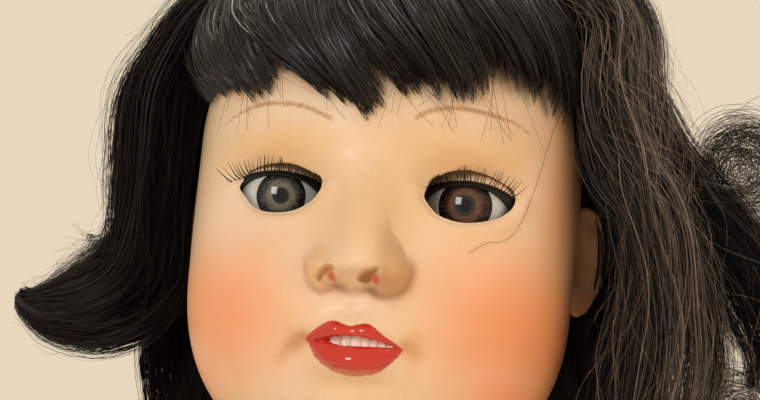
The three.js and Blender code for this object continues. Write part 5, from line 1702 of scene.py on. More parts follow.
@dataclass
class Wig:
    """Fringed wig: crown, fringe, side locks, the loose curl, the back hair and stray hairs."""

    crown_hairs: int = 7000
    fringe_hairs: int = 5000
    back_hairs: int = 5000
    rolls: tuple[tuple[float, float, float, float, int], ...] = (  # middle, radius and hairs of each
        (91.5, 2.0, 19.0, 14.0, 270), (93.0, 3.0, -44.0, 12.0, 130))
    strays: int = 260
    slips: int = 46  # thin hairs on the forehead
    width: float = 0.155
    flare: tuple[tuple[float, ...], tuple[float, ...]] = ((0, 0.25, 0.5, 0.75, 1.0), (0, 0, 1, 2.5, 6))
    swoops: tuple[Swoop, ...] = (
        Swoop((-1.30, -0.76), ((-1.07, 0.90), (-0.83, 0.905), (-0.62, 0.93), (-0.46, 0.945)), 0.25, 2.0),
        Swoop((-0.82, -0.58), ((-0.50, 0.90), (-0.38, 0.895), (-0.30, 0.89)), 0.045, 1.8),
        Swoop((-0.80, -0.28), ((-0.31, 0.91), (-0.21, 0.95), (-0.12, 0.99), (-0.04, 1.01), (0.06, 1.0)),
              0.265, 2.5),
        Swoop((-0.32, 0.26), ((0.12, 0.95), (0.28, 0.94), (0.41, 0.945), (0.56, 0.885)), 0.24, 2.4),
        Swoop((0.14, 0.90), ((0.57, 0.865), (0.77, 0.89), (0.91, 0.905), (1.14, 0.875)), 0.20, 2.2))
    right: Lock = field(default_factory=lambda: Lock(
        "hair_lock_right", "wig_lock_right",
        ((-20, 1, 65, 4, 13), (-39, 0, 60, 8, 17), (-50.5, -1, 50, 8.5, 18), (-56.5, -2, 39, 9.5, 18),
         (-61, -3, 26, 11.5, 18), (-61, -3, 8.5, 11, 17), (-60.3, -3, -4.5, 10.3, 17),
         (-61.5, -3, -14, 11.5, 16), (-66.5, -3, -21.5, 13, 15), (-75, -3, -26, 12, 14),
         (-84, -3, -27.5, 8.5, 11), (-90.5, -3, -26.5, 4.5, 7), (-94, -3, -24.5, 1.5, 4)),
        3700, 27, 1.2, 0.10))
    left: Lock = field(default_factory=lambda: Lock(
        "hair_lock_left", "wig_lock_left",
        ((20, -1, 65, 4, 13), (43, -2, 62, 8, 17), (55, -4, 52, 9.5, 18), (59, -7, 34, 11, 18),
         (66, -9, 16, 10.5, 18), (71, -10, 2, 9.5, 18), (74, -10, -18, 11.5, 18), (73, -9, -40, 13.5, 18),
         (66, -7, -66, 8, 13)),
        3700, 27, 2.4, 0.5))
    sweep: Lock = field(default_factory=lambda: Lock(
        "hair_sweep_left", "",
        ((48, 6, 52, 5, 12), (57, 5, 40, 6, 14), (66, 4, 27, 7.5, 15), (76, 4, 14, 9, 15), (87, 4, 2, 11, 15),
         (96, 5, -12, 13, 14), (100, 6, -26, 10, 12), (97, 6, -38, 3, 7)),
        1800, 27, 1.6, 0.3))
    tuck: Lock = field(default_factory=lambda: Lock(
        "hair_behind_ear", "",
        ((46, 24, 40, 6, 10), (54, 24, 20, 8, 9), (59, 25, 2, 9, 9), (62, 24, -16, 10, 10),
         (63, 20, -40, 11, 12), (58, 16, -64, 7, 9)),
        1300, 20, 1.2, 0.2))
    tuck_right: Lock = field(default_factory=lambda: Lock(
        "hair_behind_ear_right", "",
        ((-46, 24, 40, 6, 10), (-53, 24, 20, 7, 9), (-57, 25, 2, 7.5, 9), (-59, 24, -16, 8, 10),
         (-58, 21, -38, 8, 11), (-55, 17, -62, 6, 9)),
        1300, 20, 1.2, 0.15))

    def crown(self, rng: Draws) -> Array:
        """Hairs from the crown down to the hairline all round.

        Args:
            rng: Source of each hair's own place.

        Returns:
            Points by hair and step, in head coordinates.
        """
        n, s = self.crown_hairs, np.linspace(0, 1, 15)[None]
        turn = rng.uniform(0.62, 2 * math.pi - 0.62, n)
        limit = hairline(turn) + rng.uniform(0.02, 0.16, n) + 0.34 * rng.random(n) * ease(-1.5 * np.cos(turn))
        start = limit * rng.random(n) ** 1.4 * 0.62 + 0.02
        tilt = start[:, None] + (limit - start)[:, None] * s
        swirl = 0.22 * (1 - tilt / limit[:, None]) * np.sin(turn)[:, None]
        lift = 8.5 + 5.0 * rng.random(n)[:, None] ** 0.7 - 4.5 * ease((tilt / limit[:, None] - 0.55) / 0.5)
        lift = lift + 0.5 * np.sin(tilt * 14 + rng.uniform(0, PHASE, n)[:, None])
        return FORM.surface(tilt, turn[:, None] - swirl, lift, FORM.scalp)

    def fringe(self, rng: Draws) -> Array:
        """Hairs from the crown over the forehead to the fringe's uneven edge.

        Args:
            rng: Source of each hair's own place.

        Returns:
            Points by hair and step, in head coordinates.
        """
        s = np.linspace(0, 1, 19)[None]
        roll = np.sqrt(1 - clamp01((s - 0.52) / 0.48) ** 2)
        made = []
        for swoop in self.swoops:
            n = int(self.fringe_hairs * swoop.share)
            tufts = max(6, int(90 * swoop.share))
            spots = np.linspace(0.02, 0.98, tufts) + rng.normal(0, 0.01, tufts)
            ragged = rng.normal(0, 0.016, tufts)
            tuft = rng.integers(0, tufts, n)
            u = clamp01(spots[tuft] + rng.normal(0, 0.5 / tufts, n))
            at = 0.15 * u + 0.85 * spots[tuft] + rng.normal(0, 0.012, n)
            knots = np.linspace(0, 1, len(swoop.ends))
            ways, tilts = (np.interp(at, knots, v) for v in zip(*swoop.ends))
            end = tilts + ragged[tuft] - np.abs(rng.normal(0, 0.055, n)) - 0.018
            turn = swoop.roots[0] + (swoop.roots[1] - swoop.roots[0]) * u + rng.normal(0, 0.02, n)
            start = rng.uniform(0.04, 0.42, n) * (1 + 0.4 * np.abs(turn))
            tilt = start[:, None] + (end - start)[:, None] * (1 - (1 - s) ** 1.3)
            curve = swoop.bend + rng.normal(0, 0.3, n)[:, None]
            way = turn[:, None] + (ways - turn)[:, None] * s ** np.maximum(curve, 1.0)
            depth = rng.random(n)[:, None] ** 0.6
            lift = 1.3 + 1.0 * depth + (5.0 + 6.6 * depth) * roll + 0.35 * np.sin(9 * s + 40 * u[:, None])
            made.append(FORM.surface(tilt, way, np.maximum(lift, 1.2), FORM.scalp))
        return np.concatenate(made)

    def wisps(self, rng: Draws) -> Array:
        """Thin hairs that slip from the fringe onto the forehead.

        Args:
            rng: Source of each hair's own place.

        Returns:
            Points by hair and step, in head coordinates.
        """
        n, s = self.slips, np.linspace(0, 1, 16)[None]
        turn = rng.uniform(-0.78, 0.62, n)[:, None]
        end = turn + rng.normal(0.12, 0.17, n)[:, None]
        tilt = 0.72 + (rng.uniform(0.93, 1.05, n)[:, None] - 0.72) * s
        lift = 6.5 * (1 - s) + rng.uniform(0.5, 2.5, n)[:, None]
        return FORM.surface(tilt, turn + (end - turn) * s**1.8, lift, FORM.scalp)

    def frizzy(self, lock: Lock, n: int, rng: Draws) -> Array:
        """Fine curling hairs that have come loose from a side lock.

        Args:
            lock: The lock they come from.
            n: How many there are.
            rng: Source of each hair's own place.

        Returns:
            Points by hair and step, in head coordinates.
        """
        s = np.linspace(0, 1, 20)[None]
        line, thick, wide, size = lock.frames(90)
        t = clamp01(rng.uniform(0.05, 0.75, n)[:, None] + rng.uniform(0.15, 0.40, n)[:, None] * s)
        i = np.minimum((t * 89).astype(int), 88)
        f = (t * 89 - i)[..., None]
        angle = rng.uniform(0, 2 * math.pi, n)[:, None] + rng.uniform(-1.8, 1.8, n)[:, None] * s
        loose = 1.0 + 0.7 * s**1.5 * rng.random(n)[:, None]
        swing = rng.uniform(0.6, 3.0, n)[:, None]
        curl = swing * np.sin(s * rng.uniform(3, 9, n)[:, None] + rng.uniform(0, PHASE, n)[:, None])
        sizes = size[i] * (1 - f) + size[i + 1] * f
        a = (np.cos(angle) * loose)[..., None] * sizes[..., :1] + curl[..., None]
        b = (np.sin(angle) * loose)[..., None] * sizes[..., 1:]
        places = line[i] * (1 - f) + line[i + 1] * f + thick[i] * a + wide[i] * b
        places[..., 0] = np.clip(places[..., 0], -106.0, 112.0)
        return off_head(places, 2.0)

    def drape(self, z: Array) -> tuple[Array, Array, Array]:
        """How the back hair lies at heights.

        Args:
            z: Heights from the eye line, in mm.

        Returns:
            Share of the way down, flare in mm, and how far it is drawn in over the crown.
        """
        share = clamp01((14 - z) / 88)
        arch = np.sqrt(np.maximum(1 - 0.80 * clamp01((z - 14) / 52) ** 2, 0.05))
        return share, np.interp(share, *self.flare), arch

    def back(self, rng: Draws) -> Array:
        """Hairs down the back of the head that flare at their ends.

        Args:
            rng: Source of each hair's own place.

        Returns:
            Points by hair and step, in head coordinates.
        """
        n, s = self.back_hairs, np.linspace(0, 1, 20)[None]
        turn = rng.uniform(1.72, 2 * math.pi - 1.72, n)
        top = 46 + 14 * rng.random(n)[:, None]
        ragged = 6 * np.cos(turn) ** 2 + 2.2 * np.sin(23 * turn + 2 * np.sin(7 * turn))
        foot = -73 + 13 * rng.random(n)[:, None] ** 1.6 + ragged[:, None]
        z = top + (foot - top) * s
        depth = rng.random(n)[:, None]
        share, flare, arch = self.drape(z)
        rx = (48 + flare + 2 + 6 * depth + 9 * ease(np.sin(turn))[:, None] * share) * arch
        ry = (56 + 0.3 * flare + 3 + 7 * depth) * arch
        way = turn[:, None] + 0.05 * np.sin(z * 0.07 + rng.uniform(0, PHASE, n)[:, None])
        wave = (1.2 + 1.3 * share) * np.sin(z * 0.16 + 3 * np.sin(turn * 5)[:, None])
        return off_head(np.stack([(rx + wave) * np.sin(way), 3 - (ry + wave) * np.cos(way), z], -1), 2.2)

    def curl(self, rng: Draws) -> Array:
        """The loose rolls that spring out at the doll's left.

        Args:
            rng: Source of each hair's own place.

        Returns:
            Points by hair and step, in head coordinates.
        """
        s = np.linspace(0, 1, 30)[None]
        made = []
        for x, y, z, size, n in self.rolls:
            lean = rng.uniform(-1, 1, n)[:, None]
            radius = size * np.sqrt(1 - 0.55 * lean**2) * rng.uniform(0.12, 1.0, n)[:, None] ** 0.7
            radius = radius * (1 - 0.25 * s)
            angle = rng.uniform(2.2, 4.2, n)[:, None] - 2 * math.pi * rng.uniform(0.8, 1.3, n)[:, None] * s
            tip = rng.normal(0, 0.4, n)[:, None]
            across = x + rng.normal(0, 0.17 * size, n)[:, None] + radius * np.cos(angle)
            up = z + rng.normal(0, 0.17 * size, n)[:, None] + radius * np.sin(angle)
            deep = y + 0.7 * size * lean + radius * np.sin(angle + 1.0) * tip
            made.append(np.stack([np.minimum(across, 108.0), deep, up], -1))
        return np.concatenate(made)

    def stray(self, rng: Draws) -> Array:
        """Single hairs that stand off the wig and hang over the forehead.

        Args:
            rng: Source of each hair's own place.

        Returns:
            Points by hair and step, in head coordinates.
        """
        n, s = self.strays, np.linspace(0, 1, 18)[None]
        ahead = rng.random(n) < 0.10
        turn = np.where(ahead, rng.uniform(-0.5, 0.4, n), rng.choice([-1, 1], n) * rng.uniform(0.8, 2.6, n))
        turn = turn[:, None]
        start = rng.uniform(0.15, 0.55, n)[:, None]
        reach = (hairline(turn) - start) * rng.uniform(0.9, 1.25, n)[:, None]
        lift = 13 + rng.normal(0, 0.8, n)[:, None] + rng.normal(1.5, 1.5, n)[:, None] * np.sin(math.pi * s)
        lift = lift - 7.5 * s * (np.abs(turn) < 0.9)
        bend = rng.normal(0, 0.22, n)[:, None] * s**2
        return FORM.surface(start + reach * s, turn + bend, np.maximum(lift, 1.5), FORM.scalp)

    def cheek_hair(self) -> Array:
        """The one long hair that has fallen over the doll's left cheek.

        Returns:
            Points of the hair, in head coordinates.
        """
        line = np.array([(46.0, -19.0, 31.0), (43.4, -25.0, 22.0), (41.7, -29.4, 13.0), (39.6, -33.4, 3.3),
                         (36.8, -38.4, -5.6), (33.5, -42.2, -9.0), (30.4, -44.4, -9.7), (25.9, -47.6, -13.0)])
        return off_head(spline(line, 40)[None], 0.35)

    def cores(self, core: Material) -> None:
        """Dark middles under the crown and back hair, so that no scalp shows through.

        Args:
            core: Finish of the middles.
        """
        turns = circle(96)
        share = np.linspace(0.02, 1.0, 40)[:, None]
        front = np.exp(-((np.angle(np.exp(1j * turns)) / 0.85) ** 4))[None]
        limit = hairline(turns)[None] + 0.10 * front
        way, lift = turns[None] + 0 * share, 10.0 - 7.6 * ease((share - 0.50) / 0.5) + 0 * limit
        outer, inner = (FORM.surface(limit * share, way, up, FORM.scalp) for up in (lift, 2.0 + 0 * lift))
        points, faces = closed_grid(np.concatenate([outer, inner[::-1]]), outer[0].mean(0), inner[0].mean(0))
        dress(closed_piece("hair_crown_core", to_world(points), faces), core, "head")
        ways = np.linspace(1.80, 2 * math.pi - 1.80, 80)
        rows = np.linspace(34, -66, 40)[:, None]
        down, flare, arch = self.drape(rows)
        sheets = []
        for up in (4.5, 1.5):
            rx = (48 + flare + up + 9 * ease(np.sin(ways)) * down) * arch
            ry = (56 + 0.3 * flare + up) * arch
            ring = np.stack([rx * np.sin(ways), 3 - ry * np.cos(ways), rows + 0 * ways], -1)
            sheets.append(off_head(ring, 1.5 + 0.4 * up))
        band = np.concatenate([sheets[0], sheets[1][::-1]])
        faces = loop_faces(*band.shape[:2], False)
        dress(closed_piece("hair_back_core", to_world(band.reshape(-1, 3)), faces), core, "head")

    @staticmethod
    def fly(name: str, paths: Array, width: float, loss: float, brown: float, finish: Material,
            rng: Draws) -> None:
        """Makes one bundle of fine loose hairs.

        Args:
            name: Name of the piece.
            paths: Points by hair and step, in head coordinates.
            width: Half width at the root, in mm.
            loss: Share of the width lost at the tip.
            brown: Chance that a hair is brown.
            finish: Finish of the hairs.
            rng: Source of each hair's tone.
        """
        piece = strands(name, paths, taper(paths.shape[1], width, loss), Strand.FIBRE, rng, brown)
        dress(piece, finish, "head")

    def build(self, hair: Material, glossy: Material, sheen_painted: Material, loose: Material,
              core: Material) -> None:
        """Makes the whole wig.

        Args:
            hair: Finish of most hair.
            glossy: Finish of the crown, fringe and back.
            sheen_painted: Finish of the left lock, its pale brown strands a painted sheen.
            loose: Finish of loose hairs on the left, their pale brown a painted light.
            core: Finish of the dark middles.
        """
        rng = np.random.default_rng(29)
        bundles = (
            ("hair_crown", "wig_crown", self.crown(rng), 1.15, 0.10, glossy, Strand.RIBBON),
            ("hair_fringe", "wig_fringe", self.fringe(rng), 0.9, 0.10, glossy, Strand.RIBBON),
            ("hair_back", "wig_back", self.back(rng), 1.15, 0.14, glossy, Strand.RIBBON),
            ("hair_curl", "wig_curl_left", self.curl(rng), 0.36, 0.5, hair, Strand.FIBRE))
        for name, node, paths, share, brown, finish, shape in bundles:
            count, steps = paths.shape[:2]
            widths = taper(steps, self.width * share, 0.6, 3) * rng.uniform(0.65, 1.35, (count, 1))
            piece = strands(name, paths, widths, shape, rng, brown)
            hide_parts(node)
            dress(piece, finish, "head")
        for lock, finish, share in (
                (self.right, hair, 1.0), (self.left, sheen_painted, 0.82), (self.sweep, hair, 1.0),
                (self.tuck, hair, 1.0), (self.tuck_right, hair, 1.0)):
            lock.build(rng, finish, core, self.width * share)
        for name, lock, count, brown, finish in (
                ("hair_frizz_left", self.left, 420, 0.6, loose),
                ("hair_frizz_sweep", self.sweep, 190, 0.5, loose),
                ("hair_frizz_right", self.right, 420, 0.5, hair)):
            self.fly(name, self.frizzy(lock, count, rng), 0.05, 0.5, brown, finish, rng)
        self.fly("hair_wisps", self.wisps(rng), 0.045, 0.0, 0.7, hair, rng)
        self.fly("hair_strays", self.stray(rng), 0.055, 0.5, 0.4, hair, rng)
        self.fly("hair_on_cheek", self.cheek_hair(), 0.06, 0.0, 1.0, hair, rng)
        self.cores(core)


# Mouth


@dataclass
class Teeth:
    """A strip of small porcelain teeth behind the parted lips."""

    edges: tuple[float, ...] = (-6.4, -3.4, -1.0, 1.6, 3.7, 5.6, 7.6, 9.6)  # where the teeth meet, mm
    top: float = -34.6
    foot: float = -38.3
    depth: float = 2.0
    front: float = 0.9  # behind the lips' parting

    def tooth(self, left: float, right: float) -> Solid:
        """One rounded tooth.

        Args:
            left: Where it meets the tooth on one side, in mm.
            right: Where it meets the tooth on the other.

        Returns:
            Points and triangles.
        """
        half = (right - left) / 2 + 0.07
        middle = (left + right) / 2
        lean = 0.5 * abs(middle) / 9
        rise, turn = np.meshgrid(np.linspace(0, 1, 12), circle(28), indexing="ij")
        across = np.sign(np.sin(turn)) * np.abs(np.sin(turn)) ** 0.28
        deep = -np.sign(np.cos(turn)) * np.abs(np.cos(turn)) ** 0.4
        shrink = 1 - 0.22 * clamp01((rise - 0.82) / 0.18) ** 2 - 0.05 * clamp01((0.3 - rise) / 0.3)
        face = FORM.front(np.array([middle]), np.array([-36.6]))[0] + self.front + lean
        crowned = 0.25 * (1 - across**2) * (deep < 0)
        points = np.stack([
            middle + across * half * shrink, face + self.depth / 2 * (1 + deep * shrink) - crowned,
            self.top + (self.foot - self.top) * rise + 0.25 * across**2 * rise], -1)
        return closed_grid(points, points[0].mean(0), points[-1].mean(0))

    def build(self, finish: Material) -> None:
        """Makes the strip.

        Args:
            finish: Finish of the teeth.
        """
        corners, faces, count = [], [], 0
        for left, right in zip(self.edges, self.edges[1:]):
            points, tris = self.tooth(left, right)
            corners.append(points)
            faces.append(tris + count)
            count += len(points)
        strip = closed_piece("tooth_row", to_world(np.concatenate(corners)), np.concatenate(faces))
        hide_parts("teeth")
        dress(strip, finish, "head")


# Body


@dataclass
class Body:
    """Jointed composition trunk and limbs, evened out from their solids and modelled further, in metres."""

    voxel: float = 0.0011
    fine_voxel: float = 0.0006
    rounds: int = 26  # of evening
    drift: float = 0.00045  # furthest that evening carries the surface
    knee: float = 0.128
    elbow: float = 0.317
    rosy: float = 0.011

    def refined(self, node: Piece, name: str, voxel: float) -> Piece:
        """A smooth copy of a solid.

        Args:
            node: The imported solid.
            name: Name of the copy.
            voxel: Size of its facets.

        Returns:
            The copy.
        """
        piece = bpy.data.objects.new(name, node.data.copy())
        bpy.context.scene.collection.objects.link(piece)
        remesh = piece.modifiers.new("even", "REMESH")
        remesh.mode = "VOXEL"
        remesh.voxel_size = voxel
        applied(piece)
        mesh, solid = piece.data, node.data
        edges = np.empty(len(mesh.edges) * 2, np.int32)
        mesh.edges.foreach_get("vertices", edges)
        even = smoothed(mesh_points(piece), edges.reshape(-1, 2), self.rounds)
        faces = [tuple(face.vertices) for face in solid.polygons]
        tree = BVHTree.FromPolygons([corner.co for corner in solid.vertices], faces)
        near = np.array([tree.find_nearest(Vector(p))[0] for p in even])
        off = even - near
        far = np.linalg.norm(off, axis=1, keepdims=True)
        set_points(piece, near + off * np.minimum(1, self.drift / np.maximum(far, 1e-9)))
        mesh.polygons.foreach_set("use_smooth", np.ones(len(mesh.polygons), bool))
        return piece

    def toes(self, foot: Piece) -> None:
        """Presses the grooves between the toes into a foot.

        Args:
            foot: The lower leg with its foot.
        """
        points = mesh_points(foot)
        normals = mesh_normals(foot)
        tip = points[:, 1].min()
        low = points[:, 2] < 0.03
        middle = (points[low, 0].min() + points[low, 0].max()) / 2
        side = math.copysign(1, middle)
        across = (points[:, 0] - middle) * side
        zone = ease((tip + 0.0125 - points[:, 1]) / 0.004) * (points[:, 2] < 0.016)
        groove = np.zeros(len(points))
        for at in (-0.0042, 0.0002, 0.0038, 0.0070):
            groove = np.maximum(groove, hump((across - at) / 0.00075))
        curve = clamp01((across + 0.010) / 0.020)
        press = 0.0011 * groove * zone
        points = points - normals * press[:, None]
        points[:, 1] += 0.0035 * curve**2 * ease((tip + 0.012 - points[:, 1]) / 0.012)
        points[:, 2] = np.maximum(points[:, 2], 0.0)
        set_points(foot, points)
        # Painted shade in the grooves between the toes
        paint(foot, "hollow", clamp01(groove * zone * 1.2))

    def blush(self, piece: Piece, spots: Sequence[tuple[float, float, float, float]]) -> None:
        """Paints rosy spots, each a place and a strength.

        Args:
            piece: The piece to paint.
            spots: x, y, z and strength of each spot.
        """
        points = mesh_points(piece)
        total = np.zeros(len(points))
        for x, y, z, share in spots:
            off = np.linalg.norm(points - np.array([x, y, z]), axis=1)
            total = np.maximum(total, share * hump(off / self.rosy))
        paint(piece, "blush", total)

    def build(self, nodes: dict[str, Piece], skin: Material) -> None:
        """Makes the trunk and all limbs.

        Args:
            nodes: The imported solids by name.
            skin: Finish of the body.
        """
        trunk = self.refined(nodes["torso"], "trunk", self.voxel)
        self.blush(trunk, [])
        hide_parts("torso")
        dress(trunk, skin, "torso")
        for side in Side:
            word, sign = side.word, side.value
            low, high = (np.array(corner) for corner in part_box(f"hand_{word}"))
            x, y, _ = (low + high) / 2
            spots = {
                "upper_arm": [], "thigh": [],
                "forearm": [(sign * 0.064, 0.012, self.elbow, 0.5)],
                "hand": [(sign * (abs(x) + 0.006), y, high[2] - 0.022, 0.45), (x, y, low[2], 0.5)],
                "lower_leg": [(sign * 0.031, -0.016, self.knee - 0.006, 0.55)]}
            for limb, marks in spots.items():
                voxel = self.fine_voxel if limb == "hand" else self.voxel
                piece = self.refined(nodes[f"{limb}_{word}"], f"{limb}_flesh_{word}", voxel)
                if limb == "lower_leg":
                    self.toes(piece)
                self.blush(piece, marks)
                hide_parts(f"{limb}_{word}")
                dress(piece, skin, f"{limb}_{word}")


# Clothes


@dataclass
class Clothes:
    """White cotton bodice with straps, lace and buttons, and a cuff on each thigh, in mm of the row frame."""

    trunk: Rows = (  # height, half sizes, y
        (200.0, 11.0, 13.0, 2.0), (212.0, 11.0, 13.0, 2.0), (221.6, 28.2, 26.25, 2.0),
        (236.0, 45.0, 34.0, 2.0), (268.0, 47.0, 35.0, 0.0), (306.0, 42.0, 32.0, 0.0),
        (352.0, 44.0, 33.0, 0.0), (377.0, 44.4, 32.0, 0.0), (392.0, 48.0, 29.0, 0.0),
        (413.6, 38.0, 28.0, 0.0), (428.0, 28.0, 27.0, 0.0))
    top: float = 373.0
    waist: float = 306.0
    standoff: float = 0.9
    cloth: float = 0.5
    hip: Vec3 = (30.0, 0.0, 236.0)
    thigh: Rows = (  # from the hip: drop, half sizes, x
        (-107.0, 15.2, 15.4, 0.0), (-82.0, 18.0, 18.4, 0.0), (-52.0, 21.9, 23.1, 1.6),
        (-28.0, 22.3, 23.5, 2.4), (-9.0, 19.4, 19.6, 0.0))
    cuff: Pair = (191.0, 171.0)

    def trunk_at(self, z: Array) -> tuple[Array, Array, Array]:
        """Half width, half depth and y of the trunk at heights, in mm."""
        path = spline(np.array(self.trunk), 300)
        return tuple(np.interp(z, path[:, 0], path[:, k]) for k in (1, 2, 3))

    def around(self, turn: Array, z: Array, off: Array) -> Array:
        """Places round the trunk, a distance outside it."""
        rx, ry, y = self.trunk_at(z)
        return np.stack([(rx + off) * np.sin(turn), y - (ry + off) * np.cos(turn), z + 0 * turn], -1)

    def skin_of(self, name: str, outer: Array, inner: Array) -> Piece:
        """Closes two wrapped grids into one thin shell.

        Args:
            name: Name of the piece.
            outer: Places of the outer face, in mm.
            inner: Places of the inner face.

        Returns:
            The shell, marked with places round its axis.
        """
        grid = np.concatenate([outer, inner[::-1]])
        piece = closed_piece(name, grid.reshape(-1, 3) * MM, loop_faces(*grid.shape[:2], True))
        middle = grid.mean(1, keepdims=True) * [1, 1, 0]
        paint(piece, "cloth", (grid - middle).reshape(-1, 3) * MM)
        return piece

    def hem(self, turn: Array) -> Array:
        """Height of the bodice's lower edge: high over the thighs, low between and behind them.

        Args:
            turn: Turns from straight ahead.

        Returns:
            The height at each turn, in mm.
        """
        x, y = np.abs(46 * np.sin(turn)), 2 - 34 * np.cos(turn)
        front = 240 + 22.5 * ease((x - 5.5) / 7)
        return np.where(y < 6, front, 236 + 26.5 * (1 - ease((y - 6) / 19)))

    def folds(self, turn: Array, z: Array) -> Array:
        """Gathers above and below the waist, fading towards the edges.

        Args:
            turn: Turns from straight ahead.
            z: Heights, in mm.

        Returns:
            How far the cloth stands out, from 0 to about 1.
        """
        near = hump((z - self.waist) / 34)
        sway = 0.35 * np.sin(z * 0.045 + 3 * turn)
        fold = 0.5 + 0.5 * np.sin(31 * turn + sway + 1.4 * np.sin(5 * turn))
        wide = 0.5 + 0.5 * np.sin(12 * turn + 2 * sway + 0.9 * np.sin(3 * turn + 1))
        tuck = ease(np.abs(z - self.waist) / 6)
        return tuck * (0.25 * wide + 0.75 * near * fold) + 0.35 * wide * tuck * ease((self.waist - z) / 40)

    def bodice(self, cotton: Material) -> Piece:
        """The gathered bodice.

        Args:
            cotton: Its finish.

        Returns:
            The bodice.
        """
        turns, share = circle(420)[None], np.linspace(0, 1, 110)[:, None]
        z = self.top + (self.hem(turns) - self.top) * share
        seam = 0.25 * hump((share - 1) / 0.02) + 0.25 * hump(share / 0.02)
        off = self.standoff + 0.9 * self.folds(turns, z) + seam
        outer, inner = (self.around(turns, z, rise) for rise in (off + self.cloth, off))
        piece = self.skin_of("bodice_cotton", outer, inner)
        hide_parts("bodice")
        return dress(piece, cotton, "torso")

    def lace(self, name: str, base: Callable[[Array, Array], Array], count: int, columns: int,
             height: Callable[[Array], Array], lift: float) -> Piece:
        """A scalloped frill that stands off an edge.

        Args:
            name: Name of the piece.
            base: Places at turns, a distance from the edge.
            count: Number of scallops.
            columns: Number of columns of the mesh.
            height: Height of the frill at turns, in mm.
            lift: How far it stands off, in mm.

        Returns:
            The frill.
        """
        turns, share = circle(columns)[None], np.linspace(0, 1, 9)[:, None]
        rise = height(turns) * (0.72 + 0.28 * np.abs(np.sin(count * turns / 2)))
        ripple = lift * share * (0.6 + 0.4 * np.sin(count * turns + 0.8 * np.sin(7 * turns)))
        places = base(turns, share * rise)
        return self.skin_of(name, self.pushed(places, ripple + 0.35), self.pushed(places, ripple))

    @staticmethod
    def pushed(places: Array, off: Array) -> Array:
        """Places pushed straight out from their ring's middle."""
        way = (places - places.mean(1, keepdims=True)) * [1, 1, 0]
        return places + unit(way) * off[..., None]

    def strap(self, side: Side, cotton: Material) -> Piece:
        """A narrow strap over one shoulder.

        Args:
            side: Which shoulder.
            cotton: Its finish.

        Returns:
            The strap.
        """
        y = np.linspace(-31.5, 31.5, 60)
        rows = []
        for x in np.linspace(28.5, 34.5, 7):
            low, high = np.full(len(y), 366.0), np.full(len(y), 427.0)
            for _ in range(26):
                z = (low + high) / 2
                rx, ry = self.trunk_at(z)[:2]
                inside = (x / rx) ** 2 + (y / ry) ** 2 < 1
                low, high = np.where(inside, z, low), np.where(inside, high, z)
            rows.append(np.stack([np.full(len(y), side.value * x), y * 1.02, low], -1))
        line = smoothed_rows(np.array(rows))
        way = unit(line - np.array([0.0, 0.0, 380.0]))
        ring = np.concatenate([line + way * 1.3, (line + way * 0.7)[::-1]]).transpose(1, 0, 2)
        points, faces = closed_grid(ring, ring[0].mean(0), ring[-1].mean(0))
        piece = closed_piece(f"strap_{side.word}", points * MM, faces)
        across = (points[:, 0] - side.value * 31.5) / 42
        along = (points[:, 1] + points[:, 2]) * MM
        paint(piece, "cloth", np.stack([np.sin(across), -np.cos(across), along], -1))
        return dress(piece, cotton, "torso")

    def buttons(self, pearl: Material) -> None:
        """Small domed buttons down the front.

        Args:
            pearl: Their finish.
        """
        out, deep = np.array([(0.5, -1.0), (1.3, -0.95), (1.9, -0.6), (2.1, -0.1), (2.0, 0.35), (1.2, 0.6)]).T
        turns = circle(24)
        for k, z in enumerate(np.linspace(364, 316, 5)):
            _, ry, y = self.trunk_at(np.array([z]))
            face = y[0] - ry[0] - 2.1
            grid = np.stack([np.outer(out, np.cos(turns)), np.outer(deep, np.ones(24)) + face,
                             np.outer(out, np.sin(turns)) + z], -1)
            points, faces = closed_grid(grid, np.array([0, face - 0.75, z]), np.array([0, face + 0.6, z]))
            dress(closed_piece(f"button_{k + 1}", points * MM, faces), pearl, "torso")

    def sash(self, ribbon: Material) -> None:
        """The waist band over the gathers.

        Args:
            ribbon: Its finish.
        """
        turns, share = circle(300)[None], np.linspace(-1, 1, 12)[:, None]
        z = self.waist + 4.2 * share + 0.2 * np.sin(9 * turns)
        off = self.standoff + 1.0 + 0.25 * np.cos(share * 1.4) + 0.12 * np.sin(23 * turns + 4 * share)
        piece = self.skin_of("waist_band", self.around(turns, z, off + 0.4), self.around(turns, z, off))
        dress(piece, ribbon, "torso")

    def thigh_at(self, side: Side, turn: Array, z: Array, off: Array) -> Array:
        """Places round a thigh, a distance outside it.

        Args:
            side: Which thigh.
            turn: Turns from straight ahead.
            z: Heights, in mm.
            off: Distances outside the thigh.

        Returns:
            The places, in mm.
        """
        zs, rx, ry, x = np.array(self.thigh).T
        a, b, c = (np.interp(z - self.hip[2], zs, v) for v in (rx, ry, x))
        across = side.value * (self.hip[0] + c + (a + off) * np.sin(turn))
        return np.stack([across, self.hip[1] - (b + off) * np.cos(turn), z + 0 * turn], -1)

    def leg_cuff(self, side: Side, cotton: Material, lace: Material) -> None:
        """A gathered cuff with a lace frill below it.

        Args:
            side: Which thigh.
            cotton: Finish of the cuff.
            lace: Finish of the frill.
        """
        turns, share = circle(260)[None], np.linspace(0, 1, 36)[:, None]
        top, foot = self.cuff
        z = top + (foot - top) * share
        fold = 0.5 + 0.5 * np.sin(26 * turns + 0.8 * np.sin(5 * turns) + share)
        swell = np.sin(math.pi * clamp01(share * 1.05)) ** 0.7
        inner = self.standoff + 1.0 * fold * swell + 0.3 * hump((share - 0.86) / 0.05)
        outer, inner = (self.thigh_at(side, turns, z, off) for off in (inner + self.cloth, inner))
        cuff = self.skin_of(f"cuff_cotton_{side.word}", outer, inner)
        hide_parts(f"leg_cuff_{side.word}")
        dress(cuff, cotton, f"thigh_{side.word}")
        frill = self.lace(
            f"cuff_lace_{side.word}", lambda t, d: self.thigh_at(side, t, foot + 2.0 - d, 1.5 + 0 * t),
            26, 416, lambda t: 7.5 + 0 * t, 2.2)
        dress(frill, lace, f"thigh_{side.word}")

